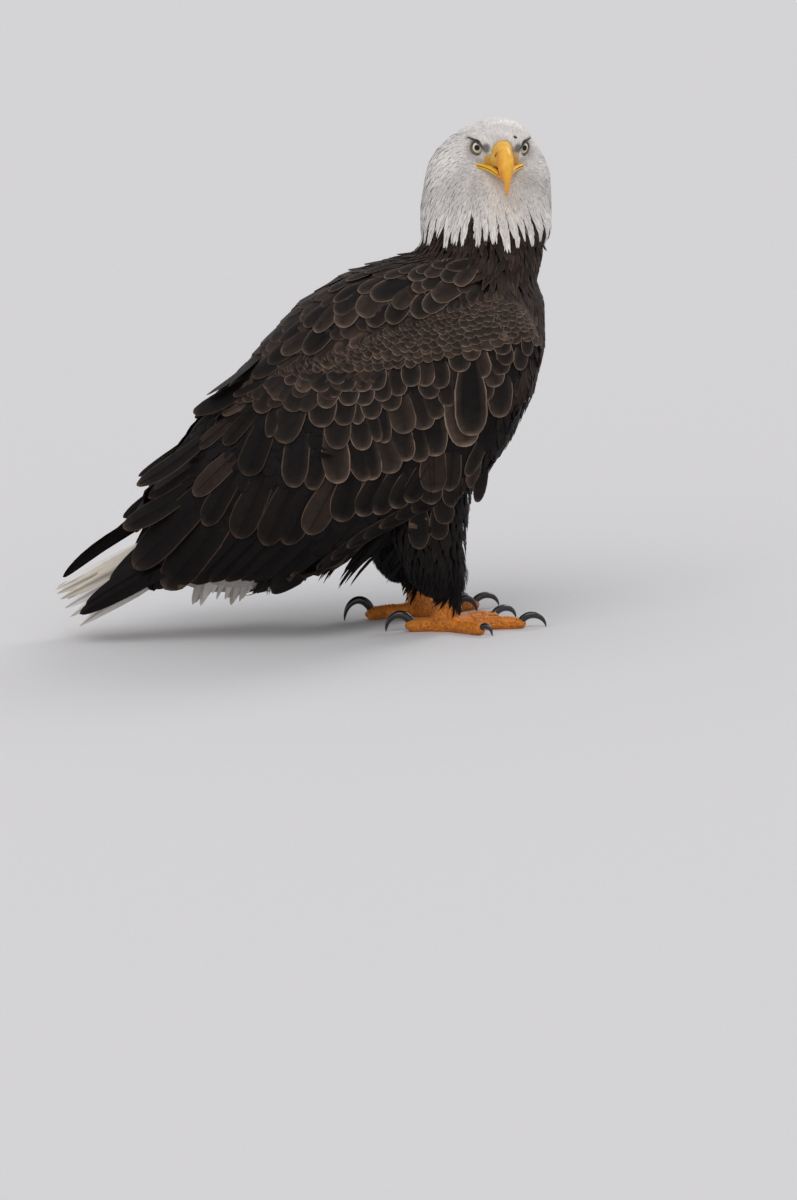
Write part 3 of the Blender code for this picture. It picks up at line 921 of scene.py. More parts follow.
# Each lock's place round the neck, in degrees from the bird's front, and its tip's height in mm
LOCKS = [(-150, 470), (-141, 479), (-129, 469), (-120, 473), (-112, 472), (-98, 471),
         (-91, 478), (-84, 474), (-73, 462), (-62, 467), (-54, 474), (-46, 466), (-34, 470),
         (-18, 464)]
far_side = np.arange(-8, 203, 9.5)
LOCKS += [(angle + 2.5 * math.sin(7.1 * i), 469 + 6 * math.sin(2.3 * i))
          for i, angle in enumerate(far_side)]
LOCK_ANGLES, LOCK_TIPS = np.array(LOCKS).T * [[math.pi / 180], [MM]]
HEM_NOTCHES = [(-105, 4.0, 0.020), (-140, 4.0, 0.010), (-40, 3.5, 0.008)]


def nearest_lock(points):
    """For each place, its lock, and how far it is from the lock's middle, 1 being half way."""
    angle = np.arctan2((points[:, 1] - NECK_MIDDLE[1]) / NECK_HALF[1],
                       (points[:, 0] - NECK_MIDDLE[0]) / NECK_HALF[0])
    apart = np.abs(np.angle(np.exp(1j * (angle[:, None] - LOCK_ANGLES))))
    order = np.sort(apart, axis=1)
    return apart.argmin(1), 2 * order[:, 0] / (order[:, 0] + order[:, 1]), angle


def hood_hem(points):
    """Height of the lowest white roots: lower in a lock's middle, high in the notches."""
    lock, aside, angle = nearest_lock(points)
    hem = LOCK_TIPS[lock] + 0.010 + 0.020 * aside ** 1.4
    for degrees, width, height in HEM_NOTCHES:
        apart = np.angle(np.exp(1j * (angle - math.radians(degrees))))
        hem = hem + height * np.exp(-(apart / math.radians(width)) ** 2)
    return hem


print("locks", len(LOCKS), "tips from", LOCK_TIPS.min().round(3), "to", LOCK_TIPS.max().round(3))

# %% White head coat
BROW_LINE = np.array([(-9, 39.2, 10.4), (-6, 37.9, 10.6), (-1.5, 35.3, 10.1),
                      (2.5, 32.4, 9.0), (5.5, 29.7, 7.3), (10, 26.3, 4.6), (13.5, 23.7, 1.9),
                      (15.5, 21.0, -0.8)]) * MM
BROW_RADII = np.array([0.4, 0.9, 1.2, 1.3, 1.25, 1.1, 0.9, 0.4]) * MM
MOUTH_LINE = np.array([(-0.5, 34.2, -21.0), (7, 28.9, -21.3), (13, 23.2, -22.0), (19, 18.0, -23.2),
                       (25, 14.2, -24.5), (32, 11.0, -26.2), (38, 8.8, -27.8)]) * MM
MARK_AT = np.array([16.3, 15.4, 13.7]) * MM       # a few dark bristles over the left brow


def head_lie(points):
    local = in_head(points) - BILL_BASE
    far = norm(local, axis=1)
    outward = unit(local) @ HEAD_AXES.T
    fall = smooth_step(0.025, 0.085, far)[:, None] * 0.8
    return unit(blend(outward, DOWN, fall))


# The yellow, thinly feathered cheek: its middle and its size
CERE_FLARE = np.array([(19.0, 15.0, -14.0), (8.5, 6.0, 8.5)]) * MM


def mirrored(local):
    """Places in the head's frame with those of the right side moved over to the left."""
    return local * np.array([1, 0, 1]) + np.abs(local) * np.array([0, 1, 0])


def near_line(local, line, reach):
    """True where a place lies within reach of a line of points, on either side of the head."""
    fine = np.concatenate([line[:-1] + (line[1:] - line[:-1]) * t for t in (0, 0.33, 0.67)])
    return norm(mirrored(local)[:, None] - fine, axis=2).min(1) < reach


def off_bare_face(points):
    """False on the eyes and lids, the brow ridge, the bill and its lips."""
    local = in_head(points)
    keep = norm((local - np.array([0.019, 0, -0.007]))
                          / np.array([0.010, 0.0125, 0.018]), axis=1) > 1
    for side_name in SIDES:
        far, height = round_eye(local, side_name)
        keep &= (far > 0.0098) | (height < 0)
    keep &= ~near_line(local, BROW_LINE, 0.0013)
    keep &= ~near_line(local, MOUTH_LINE, 0.0032)
    return keep


def face_tints(points, shades):
    """Painted shade round the eyes and at the back of the brow, greyer feathers on the lores, and
    yellow skin showing near the bill.
    """
    local = in_head(points)
    near_side = mirrored(local)

    def patch(centre, size):
        away = norm((near_side - np.array(centre) * MM) / (np.array(size) * MM), axis=1)
        return smooth_step(1.25, 0.6, away)[:, None]

    for centre, size, colour, amount in (
            # painted shade round the eye
            ((3, 30, -3), (13, 12, 13), GREY_WHITE * 0.9, 0.55),
            ((17, 17.5, 0.5), (6.5, 6, 6), LORE_GREY * 0.5, 0.9),
            # painted shade at the back of the brow
            ((-8, 38.5, 11.5), (4.5, 3.2, 3.2), paint(70, 58, 52), 0.85),
            ((18, 15.5, -8), (7, 5, 5), paint(206, 176, 110), 0.7),
            ((19, 16, -15), (8, 6, 7), CERE_YELLOW * 0.9, 0.95),
            ((10, 24, -15), (9, 6, 3.5), GREY_WHITE * 0.8, 0.5)):
        shades = blend(shades, colour, patch(centre, size) * amount)
    mark = norm(local - MARK_AT, axis=1)[:, None] < 0.0022
    return np.where(mark, BLACK_BROWN, shades)


def lay_lances(coat, roots, lie, lengths, half_widths, base, border, sink, proud, pattern=None,
               stray=0.1, tilt=0.0003, patch=0.003, curl=0.0, root_shade=0.75):
    """Lays one batch of small feathers; the lie is one direction, or one for each root."""
    pattern = pattern or LANCE
    lie = unit(lie + stray * bell(roots.shape))
    laid = Laid(roots, lie, lengths, pattern.stations)
    points = vanes(laid, pattern, half_widths, sink, proud, tilt, curl)
    coat.add(points, pattern, lengths, half_widths, base, border, patch=patch,
             root_shade=root_shade)
    return points


length_at = head_length(guide.centres)
white_mask = (((face_solid == "head") | (face_solid == "neck"))
              & (guide.centres[:, 2] > hood_hem(guide.centres)))
width_at = 0.0008 + 0.080 * length_at
roots, faces = scatter(white_mask, np.sqrt(width_at * length_at / 7.5))
roots = roots[off_bare_face(roots)]
lengths = head_length(roots) * uneven(roots, 0.14)
lie = head_lie(roots)
lock, aside, _ = nearest_lock(roots)
lock_tip = np.column_stack([NECK_MIDDLE + NECK_HALF * np.stack(
    [np.cos(LOCK_ANGLES[lock]), np.sin(LOCK_ANGLES[lock])], 1), LOCK_TIPS[lock]])
to_tip = lock_tip - roots
lean = smooth_step(0.545, 0.505, roots[:, 2])[:, None] * 0.95
lie = unit(blend(lie, unit(to_tip), lean))
reach = norm(to_tip, axis=1)
lengths = np.where(roots[:, 2] < 0.525, np.minimum(lengths, reach * 1.02), lengths)
half_widths = 0.5 * (0.0008 + 0.102 * lengths)
streaks = 0.06 * np.sin(9 * np.arctan2(roots[:, 1], roots[:, 0] - 0.23) + 90 * roots[:, 2])
shades = varied(WHITE, len(roots), 0.035, GREY_WHITE * 1.4) * (1 + streaks)[:, None]
local = in_head(roots)
# Painted shade: a band on the sides of the head, below the eyes, is darkened.
shaded = (np.exp(-((roots[:, 2] - 0.540) / 0.026) ** 2)
          * smooth_step(0.012, 0.030, np.abs(local[:, 1])))[:, None]
throat = (smooth_step(0.034, 0.0, np.abs(local[:, 1])) * smooth_step(-0.015, -0.05, local[:, 2])
          * smooth_step(0.485, 0.52, roots[:, 2]))[:, None]
shades = shades * (1 - 0.22 * shaded)              # painted shade: the cheeks are a little darker
shades = face_tints(roots, shades * (1 - 0.4 * throat) + WARM_WHITE * 0.4 * throat)
white_coat = Coat("head_feathers", white_web, "white_feathers")
lay_lances(white_coat, roots, lie, lengths, half_widths, shades, shades * 1.06,
           (0.0003 + 0.036 * lengths)[:, None], (0.0002 + 0.011 * lengths)[:, None],
           stray=0.09, tilt=0.0001, root_shade=0.95)
white_coat.build()
print("white feathers", len(roots), "from", (lengths.min() * 1000).round(1), "mm")

# %% [markdown]
# ## Eyes
# An eagle's eye is a big ball that looks half forward and half outward. Its clear window bulges a
# little. A fine ball is turned so that its pole looks out. Each point keeps its angle from the
# gaze, and the finish paints pupil, iris and dark rim as rings of that angle, under a wet coat.

# %% Eyes
def eye_finish():
    mat, nodes, links, shader = finish("Eye", 0.05, coat=0.6, specular=0.0)
    shader.inputs["Coat Roughness"].default_value = 0.02
    angle = nodes.new("ShaderNodeAttribute")
    angle.attribute_name = "Gaze"
    fibres = remap(nodes, links, noise(nodes, links, 900.0), -0.012, 0.012)
    add = nodes.new("ShaderNodeMath")
    links.new(angle.outputs["Fac"], add.inputs[0])
    links.new(fibres, add.inputs[1])
    ramp = nodes.new("ShaderNodeValToRGB")
    links.new(add.outputs["Value"], ramp.inputs["Fac"])
    stops = [(0.0, (0.003, 0.003, 0.004)), (0.29, (0.003, 0.003, 0.004)),
             (0.315, tuple(paint(128, 118, 88))), (0.38, tuple(paint(212, 208, 184))),
             (0.62, tuple(paint(240, 236, 216))), (0.70, tuple(paint(196, 188, 150))),
             (0.745, tuple(paint(40, 36, 30))), (1.0, tuple(paint(26, 24, 22)))]
    elements = ramp.color_ramp.elements
    while len(elements) < len(stops):
        elements.new(0.5)
    for element, (where, colour) in zip(elements, stops):
        element.position, element.color = where, (*colour, 1)
    links.new(ramp.outputs["Color"], shader.inputs["Base Color"])
    return mat


eye_paint = eye_finish()
EYE_FULL = math.radians(55)           # the angle from the line of sight that Gaze calls 1
for side_name, side in SIDES.items():
    clear_selection()
    bpy.ops.mesh.primitive_uv_sphere_add(segments=48, ring_count=40, radius=EYE_RADIUS)
    eye = bpy.context.object
    eye.name = f"eyeball_{side_name}"
    at = read_points(eye.data)
    angle = np.arccos(np.clip(at[:, 2] / EYE_RADIUS, -1, 1))
    bulge = 0.0007 * smooth_step(math.radians(42), math.radians(18), angle)
    at += unit(at) * bulge[:, None]
    write_points(eye.data, at)
    layer = eye.data.attributes.new("Gaze", "FLOAT", "POINT")
    layer.data.foreach_set("value", (angle / EYE_FULL).astype(np.float32))
    eye.data.transform(HEAD_TURN @ Matrix.Translation(EYE_AT[side_name]) @ gaze(side))
    eye.data.shade_smooth()
    eye.data.materials.append(eye_paint)
    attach(eye, "root")
    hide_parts(f"eye_{side_name}")
print("eyes", [tuple(round(c, 3) for c in HEAD_TURN @ Vector(EYE_AT[s])) for s in SIDES])

# %% [markdown]
# ## Lids and brow
# The lids are a ring of bare dark skin round each ball, with a thin yellow rim. The ring is a
# short profile of points spun round the line of sight. Above it a bony brow juts out and slopes
# down to the bill. It shades the eye and gives the eagle its stern look.
# The thin dark ridge along the brow is partly bare dark skin and partly painted shade of the brow
# over the eye.

# %% Lofts, lids and brow
def loft(name, rings, material, colours=None, closed=False):
    """A closed skin through rings of points, ends fanned shut, or joined if closed."""
    rings = np.asarray(rings, float)
    count, each = rings.shape[:2]
    grid = np.arange(count * each).reshape(count, each)
    beside = np.roll(grid, -1, axis=1)
    last = count if closed else count - 1
    faces = []
    for i in range(last):
        j = (i + 1) % count
        faces += np.stack([grid[i], beside[i], beside[j], grid[j]], -1).tolist()
    points = rings.reshape(-1, 3).tolist()
    if not closed:
        for row, flip in ((0, False), (count - 1, True)):
            points.append(rings[row].mean(0).tolist())
            fan = np.stack([np.full(each, len(points) - 1), beside[row], grid[row]], -1)
            faces += (fan[:, ::-1] if flip else fan).tolist()
    mesh = bpy.data.meshes.new(name)
    mesh.from_pydata(points, [], faces)
    mesh.update()
    shape = bmesh.new()
    shape.from_mesh(mesh)
    bmesh.ops.recalc_face_normals(shape, faces=shape.faces)
    shape.to_mesh(mesh)
    shape.free()
    if colours is not None:
        colours = np.asarray(colours, float)
        if colours.ndim == 2:
            colours = np.repeat(colours[:, None], each, axis=1)
        flat = colours.reshape(-1, 3)
        if not closed:
            flat = np.concatenate([flat, colours[0].mean(0)[None], colours[-1].mean(0)[None]])
        write_tint(mesh, flat)
    mesh.shade_smooth()
    mesh.materials.append(material)
    return link_piece(name, mesh)


def curve_points(stations, steps):
    """Rows between the stations on a smooth curve that passes through each of them."""
    rows = np.array(stations, float)
    padded = np.vstack([2 * rows[0] - rows[1], rows, 2 * rows[-1] - rows[-2]])
    out = []
    for i in range(len(rows) - 1):
        a, b, c, d = padded[i:i + 4]
        for t in np.arange(steps) / steps:
            out.append(0.5 * (2 * b + (c - a) * t + (2 * a - 5 * b + 4 * c - d) * t ** 2
                              + (3 * b - a - 3 * c + d) * t ** 3))
    return np.array(out + [rows[-1]])


def tube(name, stations, material, colour, sides=12, steps=4, flatten=1.0, place=None):
    """A round, tapered tube along stations of x, y, z and radius, in metres."""
    rows = curve_points(stations, steps)
    centres, radii = rows[:, :3], np.maximum(rows[:, 3], 0.0001)
    ahead = unit(np.gradient(centres, axis=0))
    beside = unit(np.cross(ahead, (0.03, 0.02, 1.0)))
    above = np.cross(beside, ahead)
    turns = np.linspace(0, 2 * np.pi, sides, endpoint=False)
    rings = (centres[:, None] + radii[:, None, None]
             * (np.cos(turns)[None, :, None] * beside[:, None]
                + flatten * np.sin(turns)[None, :, None] * above[:, None]))
    if place is not None:
        rings = place(rings.reshape(-1, 3)).reshape(rings.shape)
    return loft(name, rings, material, np.broadcast_to(colour, (len(rings), 3)))


LID_DARK = paint(84, 84, 80)
LID_RIM = paint(176, 146, 84)
lid_skin = waxy_finish("Lid skin", 0.55, 300.0, 900.0, 0.0002, 0.8)
# Lid profile: radius from the line of sight and height along it, in millimetres, and colour
LID_PROFILE = [(7.25, 7.0, LID_DARK * 0.3), (7.2, 8.0, LID_DARK * 0.3), (7.5, 8.45, LID_RIM),
               (7.9, 8.5, LID_RIM), (8.2, 8.4, LID_DARK * 0.8), (8.9, 8.2, LID_DARK * 1.2),
               (9.8, 7.7, LID_DARK * 1.7), (10.6, 6.6, LID_DARK * 2.0), (10.4, 4.0, LID_DARK),
               (8.0, 4.6, LID_DARK)]
SPIN_STEPS = 44
face_pieces = []
for side_name, side in SIDES.items():
    spin = np.linspace(0, 2 * np.pi, SPIN_STEPS, endpoint=False)
    frame_of_eye = np.array(HEAD_TURN @ Matrix.Translation(EYE_AT[side_name]) @ gaze(side))
    rings, colours = [], []
    for turn_angle in spin:
        lift = math.sin(turn_angle)
        # The brow presses on the opening from above, so it is a little flat there.
        press = 1 - 0.09 * smooth_step(0.2, 1.0, lift)
        rim = smooth_step(0.35, -0.35, lift)          # the yellow rim shows below
        rings.append([(radius * math.cos(turn_angle), radius * lift * press, height)
                      for radius, height, _ in LID_PROFILE])
        colours.append([LID_DARK * 0.5 * (1 - rim) + colour * rim
                        if colour is LID_RIM else colour for _, _, colour in LID_PROFILE])
    rings = np.array(rings) * MM
    rings = rings @ frame_of_eye[:3, :3].T + frame_of_eye[:3, 3]
    lid = loft(f"lid_{side_name}", rings, lid_skin, np.array(colours), closed=True)
    # A dark ridge under the brow: partly bare dark skin, partly painted shade of the brow over the
    # eye.
    ridge = np.column_stack([BROW_LINE * np.array([1, side, 1]), BROW_RADII])
    brow = tube(f"brow_{side_name}", ridge, lid_skin, paint(72, 58, 50), place=from_head)
    face_pieces += [lid, brow]
print("lids and brows", len(face_pieces))

# %% [markdown]
# ## Bill
# The bill is horn over bone: a soft yellow cere at its root with a slanting nostril on each side,
# a deep upper half that hooks down past the lower one, and fleshy yellow lips that run back
# under the eyes. Each is lofted through oval sections that follow the imported solids. The
# nostrils are cut with a Boolean, and painted shade darkens the tint of their hollows.

# %% Bill
def horn_finish(name, roughness, coat):
    """Horn: the tint, cloudy, with fine growth lines as relief."""
    mat, nodes, links, shader = finish(name, roughness, coat=coat)
    cloud = remap(nodes, links, noise(nodes, links, 150.0, 4.0), 0.86, 1.10)
    links.new(scaled(nodes, links, tint(nodes), cloud), shader.inputs["Base Color"])
    relief(nodes, links, shader, noise(nodes, links, 700.0, 4.0), 0.00012)
    return mat


bill_horn = horn_finish("Bill horn", 0.36, 0.15)
cere_skin = horn_finish("Cere skin", 0.45, 0.1)
CULMEN = paint(242, 180, 44)
BILL_SIDE = paint(234, 150, 14)
BILL_TIP = paint(236, 160, 18)
LIP_YELLOW = paint(238, 186, 40)
# Stations: top x and z, low x and z, half width, and how much the sides pinch in below
UPPER_BILL = [
    (36.4, 9.6, 33.8, -21.3, 9.3, -0.16), (43.0, 7.8, 38.2, -22.2, 9.2, -0.14),
    (49.0, 4.8, 42.0, -23.0, 9.3, -0.12), (54.5, 0.4, 45.6, -24.2, 9.4, -0.1),
    (59.2, -5.2, 49.2, -25.6, 9.3, -0.08), (63.4, -11.8, 52.6, -27.6, 8.7, -0.04),
    (66.4, -19.0, 55.6, -30.2, 6.8, 0.0), (68.4, -26.5, 58.6, -33.6, 4.6, 0.0),
    (69.2, -34.0, 61.4, -37.6, 3.3, 0.0), (69.0, -41.5, 63.6, -43.0, 2.1, 0.0),
    (67.7, -48.2, 64.9, -48.2, 0.9, 0.0),
]
CERE_SHAPE = [(15, 9.5, 12, -22, 13.4, -0.3), (20, 11.6, 16, -22.4, 13.0, -0.34),
              (26, 12.0, 22, -22.4, 11.9, -0.34), (32, 11.2, 28, -22.0, 10.4, -0.26),
              (36.4, 10.0, 33.6, -21.6, 9.5, -0.18), (37.4, 9.2, 34.6, -21.2, 9.2, -0.16)]
LOWER_BILL = [(8, -23, 9, -29, 14.5, 0.0), (22, -24, 22, -31.4, 10.6, 0.0),
              (36, -25, 35, -33.4, 8.6, 0.0), (44, -26.6, 43.6, -33.0, 6.6, 0.0),
              (48, -28.4, 47.4, -31.6, 3.8, 0.0)]


BILL_SIDES = 28
SQUARENESS = 2.3              # 2 is a plain oval


def oval_rings(stations):
    """Sections between a top and a low line; the pinch narrows their lower sides."""
    rings = []
    angles = 2 * np.pi * (np.arange(BILL_SIDES) + 0.5) / BILL_SIDES
    c, s = (np.sign(a) * np.abs(a) ** (2 / SQUARENESS) for a in (np.cos(angles), np.sin(angles)))
    for top_x, top_z, low_x, low_z, half, pinch in curve_points(stations, 3):
        middle = np.array([(top_x + low_x) / 2, 0, (top_z + low_z) / 2])
        rise = np.array([(top_x - low_x) / 2, 0, (top_z - low_z) / 2])
        width = half * (1 - pinch * smooth_step(0.3, -0.8, c))
        rings.append(middle + c[:, None] * rise + (s * width)[:, None] * np.array([0, 1.0, 0]))
    return np.array(rings)


def bill_colours(rings, top, side_colour, tip=None):
    """Partly the horn's own colour, partly painted light: paler along the lit ridge, deeper on the
    shaded sides, towards the tip's colour at the end.
    """
    count, each = rings.shape[:2]
    c = np.cos(2 * np.pi * (np.arange(each) + 0.5) / each)
    ridge = smooth_step(0.3, 1.0, c)[None, :, None]
    colour = blend(side_colour, top, ridge)
    colour = np.broadcast_to(colour, (count, each, 3))
    if tip is not None:
        late = smooth_step(0.45, 1.0, np.linspace(0, 1, count))[:, None, None]
        colour = blend(colour, tip, late)
    return colour


def head_loft(name, stations, material, top, side_colour, tip=None):
    rings = oval_rings(stations)
    colours = bill_colours(rings, top, side_colour, tip)
    return loft(name, from_head((rings * MM).reshape(-1, 3)).reshape(rings.shape), material,
                colours)


upper = head_loft("upper_bill", UPPER_BILL, bill_horn, CULMEN, BILL_SIDE, BILL_TIP)
# The lower half is darker, most on top under the upper half: partly its own colour, partly painted
# shade.
lower = head_loft("lower_bill", LOWER_BILL, bill_horn, BILL_SIDE * 0.9, BILL_SIDE * 0.95)
cere = head_loft("cere_and_nostrils", CERE_SHAPE, cere_skin, CERE_YELLOW * 1.05, CERE_YELLOW)
for side in SIDES.values():
    clear_selection()
    bpy.ops.mesh.primitive_uv_sphere_add(segments=16, ring_count=10, radius=1.0)
    cutter = bpy.context.object
    cutter_place = (HEAD_TURN @ Matrix.Translation(Vector((33.4, side * 10.0, -3.6)) * MM)
                    @ Matrix.Rotation(math.radians(30), 4, "Y")
                    @ Matrix.Diagonal((0.0013, 0.0026, 0.0029, 1.0)))
    cutter.data.transform(cutter_place)
    select_only(cere)
    cut = cere.modifiers.new("Nostril", "BOOLEAN")
    cut.object, cut.operation, cut.solver = cutter, "DIFFERENCE", "EXACT"
    bpy.ops.object.modifier_apply(modifier="Nostril")
    wall = np.linalg.inv(np.array(cutter_place)) @ np.column_stack(
        [read_points(cere.data), np.ones(len(cere.data.vertices))]).T
    nostril_painted_shade = norm(wall[:3], axis=0) < 1.02
    colours = read_points(cere.data.color_attributes["Tint"], "color", "data", 4)
    # Painted shade: the walls inside each nostril are tinted dark.
    colours[nostril_painted_shade, :3] = paint(38, 26, 18)
    cere_tint = cere.data.color_attributes["Tint"].data
    cere_tint.foreach_set("color", colours.astype(np.float32).ravel())
    bpy.data.objects.remove(cutter)
for piece, node, slot_name in ((upper, "bill_upper", "bill_horn"),
                               (lower, "bill_lower", "bill_horn"), (cere, "cere", "cere_skin")):
    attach(piece, "root")
    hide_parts(node)

mouth_dark = horn_finish("Mouth line", 0.7, 0.0)
lip_skin = horn_finish("Lip skin", 0.38, 0.15)
for side_name, side in SIDES.items():
    mouth = MOUTH_LINE * np.array([1, side, 1])
    inward = np.array([0.3, -side * 1.0, 0])
    lips = []
    for name, rise, radii, shade in (
            ("upper_lip", 1.55, (1.5, 3.2, 3.7, 3.9, 3.8, 3.2, 1.2), 1.0),
            ("lower_lip", -1.75, (1.2, 2.8, 3.4, 3.6, 3.6, 3.0, 1.2), 0.88)):
        radii = np.array(radii) * MM
        centre = mouth + inward * (radii[:, None] * 0.72) + np.array([0, 0, rise]) * MM * (
            np.array([0.3, 0.9, 1, 1, 1, 1, 0.6])[:, None])
        lips.append(tube(f"{name}_{side_name}", np.column_stack([centre, radii]), lip_skin,
                         LIP_YELLOW * shade, sides=16, flatten=0.46, place=from_head))
    line = tube(f"mouth_line_{side_name}",
                np.column_stack([mouth + inward * 0.5 * MM,
                                 np.array([0.2, 0.55, 0.65, 0.65, 0.6, 0.5, 0.25]) * MM]),
                mouth_dark, paint(74, 46, 20), place=from_head)
    face_pieces += [*lips, line]
for piece in face_pieces:
    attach(piece, "root")
print("bill and lips made, face pieces", len(face_pieces))

# %% [markdown]
# ## Neck, breast, belly and trousers
# Below the hood the feathers are dark brown. On the neck and breast they are narrow hackles with
# a paler, redder border, which run straight down. They get softer and blacker on the belly and
# the thighs, whose loose lower fringe, the trousers, hangs over the bare yellow shank.

# %% Dark body coat
HACKLE_T = (0, 0.3, 0.55, 0.75, 0.9, 1)
HACKLE = Pattern(HACKLE_T, pointed_widths(HACKLE_T, 0.4),
                 [(1, -HAIR, 1, 0), (0.6, HAIR, 0, 0), (-0.6, HAIR, 0, 0), (-1, -HAIR, 1, 0),
                  (0, -2 * HAIR, 0.2, 0)], border=[0, 0, 0, 0.1, 0.4, 0.8])
x, y, z = guide.centres.T
facing_x, facing_y, facing_z = guide.facing.T
on = {name: face_solid == name for name in FLESH}
on_thigh = on["thigh_right"] | on["thigh_left"]
on_wing = on["wing_right"] | on["wing_left"]
outward = np.where(y < 0, -facing_y, facing_y)


def body_lie(points, facings):
    """The lie of the dark feathers: down the neck, back over the mantle and the belly."""
    neck = smooth_step(0.44, 0.48, points[:, 2])
    top = smooth_step(0.15, 0.75, facings[:, 2]) * (1 - neck)
    front = smooth_step(0.0, 0.6, facings[:, 0]) * (1 - neck)
    lie = np.array([-0.55, 0.0, -0.85])
    for share, way in ((top, [-0.9, 0, -0.45]), (front, [-0.12, 0, -1.0]), (neck, DOWN)):
        lie = blend(lie, way, share[:, None])
    return unit(lie)


on_neck = (on["neck"] | on["head"]) & (z < hood_hem(guide.centres))
mantle_top = on["trunk"] & (z > 0.33) & (facing_z > 0.2) & (x < 0.235)
low_body = (on["trunk"] | on["undertail"]) & ~mantle_top & clear
undertail_white = (on["undertail"] | on["trunk"]) & (x < -0.055) & (z < 0.15) & (facing_z < 0.3)
front_body = low_body & ~undertail_white & ((facing_x > -0.2) | (facing_z < 0.2))
covert_front = np.interp(z, [0.15, 0.207, 0.242, 0.272, 0.294, 0.33, 0.36],
                         [0.165, 0.195, 0.230, 0.240, 0.248, 0.266, 0.300])
front_body |= on_wing & clear & (outward > -0.3) & (x > covert_front) & (z < 0.36)

dark_coat = Coat("body_feathers", brown_web)
shoulder = (on["trunk"] | on["neck"]) & (z > 0.447)
mask = (on_neck | shoulder | (front_body & (z > 0.30))) & clear
roots, faces = scatter(mask, np.where(z > 0.44, 0.0046, 0.0060))
lengths = 0.018 + 0.011 * smooth_step(0.50, 0.40, roots[:, 2])
lengths *= uneven(roots, 0.15)
lie = body_lie(roots, guide.facing[faces])
streak = random.random((len(roots), 1)) ** 3
base = varied(BLACK_BROWN * 1.1, len(roots), 0.12, BROWN)
edge = DIM_EDGE * (0.35 + 0.9 * streak)
lay_lances(dark_coat, roots, lie, lengths, lengths * 0.14, base, edge, 0.0026, 0.0005,
           pattern=HACKLE, stray=0.07)

mask = front_body & (z <= 0.31)
roots, faces = scatter(mask, 0.0080)
lengths = 0.028 * uneven(roots, 0.15)
lie = body_lie(roots, guide.facing[faces])
base = varied(WING_BLACK * 1.1, len(roots), 0.1, BLACK_BROWN)
lay_lances(dark_coat, roots, lie, lengths, lengths * 0.16, base, base * 1.5, 0.0035, 0.0012,
           pattern=HACKLE, stray=0.14)
print("neck and body batches", len(dark_coat.batches))

# %% [markdown]
# The thigh's feathers are short and fluffy on top. Near the hem they are long, thin and loose,
# in small pointed locks, so the dark fringe ends in teeth over the shank.

# %% Thigh coat
roots, faces = scatter(on_thigh & clear & (z > SHANK_TOP), 0.0062)
lengths = 0.021 * uneven(roots, 0.2)
base = varied(WING_BLACK, len(roots), 0.12, BLACK_BROWN)
lay_lances(dark_coat, roots, np.array([-0.12, 0.0, -1.0]), lengths, lengths * 0.15,
           base, base * 1.45, 0.0030, 0.0013, pattern=HACKLE, stray=0.16)

hem = on_thigh & (z > 0.050) & (z < 0.095) & (np.abs(facing_z) < 0.9)
roots, faces = scatter(hem, 0.0032)
clumps = np.round(np.arctan2(roots[:, 1], roots[:, 0] - 0.14) * 14) * 0.9
lengths = 0.020 + 0.018 * (0.5 + 0.5 * np.sin(5.3 * clumps)) + 0.008 * random.random(len(roots))
lie = np.array([-0.14, 0.0, -1.0]) + 0.25 * guide.facing[faces]
base = varied(WING_BLACK * 0.9, len(roots), 0.1)
lay_lances(dark_coat, roots, lie, lengths, lengths * 0.055, base, base * 1.3, 0.0025, 0.0030,
           stray=0.10, curl=0.003)
# Loose strands: behind the thigh, and a tag of dark hackles that sticks out under the hood.
STRAND_TIPS = np.array([(7, 63), (13, 69), (22, 76), (32, 56), (37, 62), (44, 70), (50, 79),
                        (59, 85), (68, 87), (76, 88), (86, 75), (92, 61)]) * MM
for side in SIDES.values():
    for share in (0.0, 0.5, 1.0, 1.5, 2.0):
        count = len(STRAND_TIPS)
        tips = np.column_stack([STRAND_TIPS[:, 0], side * (0.046 + 0.006 * share)
                                * np.ones(count), STRAND_TIPS[:, 1]])
        tips += 0.003 * bell(tips.shape) + share * np.array([0.004, 0, 0.006])
        if side > 0:
            tips[:, 0] -= 0.012
        roots = tips + np.array([0.042, side * 0.004, 0.044])
        roots = roots + 0.003 * bell(tips.shape)
        bends = (roots + tips) / 2 + np.array([-0.004, 0, 0.003])
        shades = varied(WING_BLACK, count, 0.1)
        hang(dark_coat, roots, bends, tips, [0.2, side, 0.2], 0.0021, shades, shades * 1.4,
             LANCE, patch=0.003)
tag_roots = np.array([(286, -14, 476), (288, -9, 478), (290, -4, 478), (291, 1, 477),
                      (290, 6, 476), (287, -11, 482), (290, 0, 483)]) * MM
TAGS = len(tag_roots)
tag_tips = tag_roots + np.array([0.0135, -0.001, -0.024])
tag_tips = tag_tips + 0.0015 * bell((TAGS, 3))
shades = varied(BLACK_BROWN, TAGS, 0.1)
hang(dark_coat, tag_roots, (tag_roots + tag_tips) / 2 + np.array([0.003, 0, 0.002]), tag_tips,
     [1.0, -0.3, 0.2], 0.0032, shades, DIM_EDGE * 0.8, HACKLE, patch=0.003)
dark_coat.build()

# %% [markdown]
# ## Undertail coverts
# Under the tail the feathers turn white. They are long, soft and loose, so they hang out in
# separate pointed tips below the black wings.

# %% Undertail coat
roots, faces = scatter(undertail_white & (z > 0.085), 0.0078)
lengths = 0.034 * uneven(roots, 0.15)
lie = np.array([-1.0, 0.0, 0.12])
shades = varied(WHITE * 0.9, len(roots), 0.06, GREY_WHITE)
undertail_coat = Coat("undertail_feathers", white_web, "white_feathers")
lay_lances(undertail_coat, roots, lie, lengths, lengths * 0.13, shades, shades, 0.0030, 0.0012,
           pattern=HACKLE, stray=0.10)

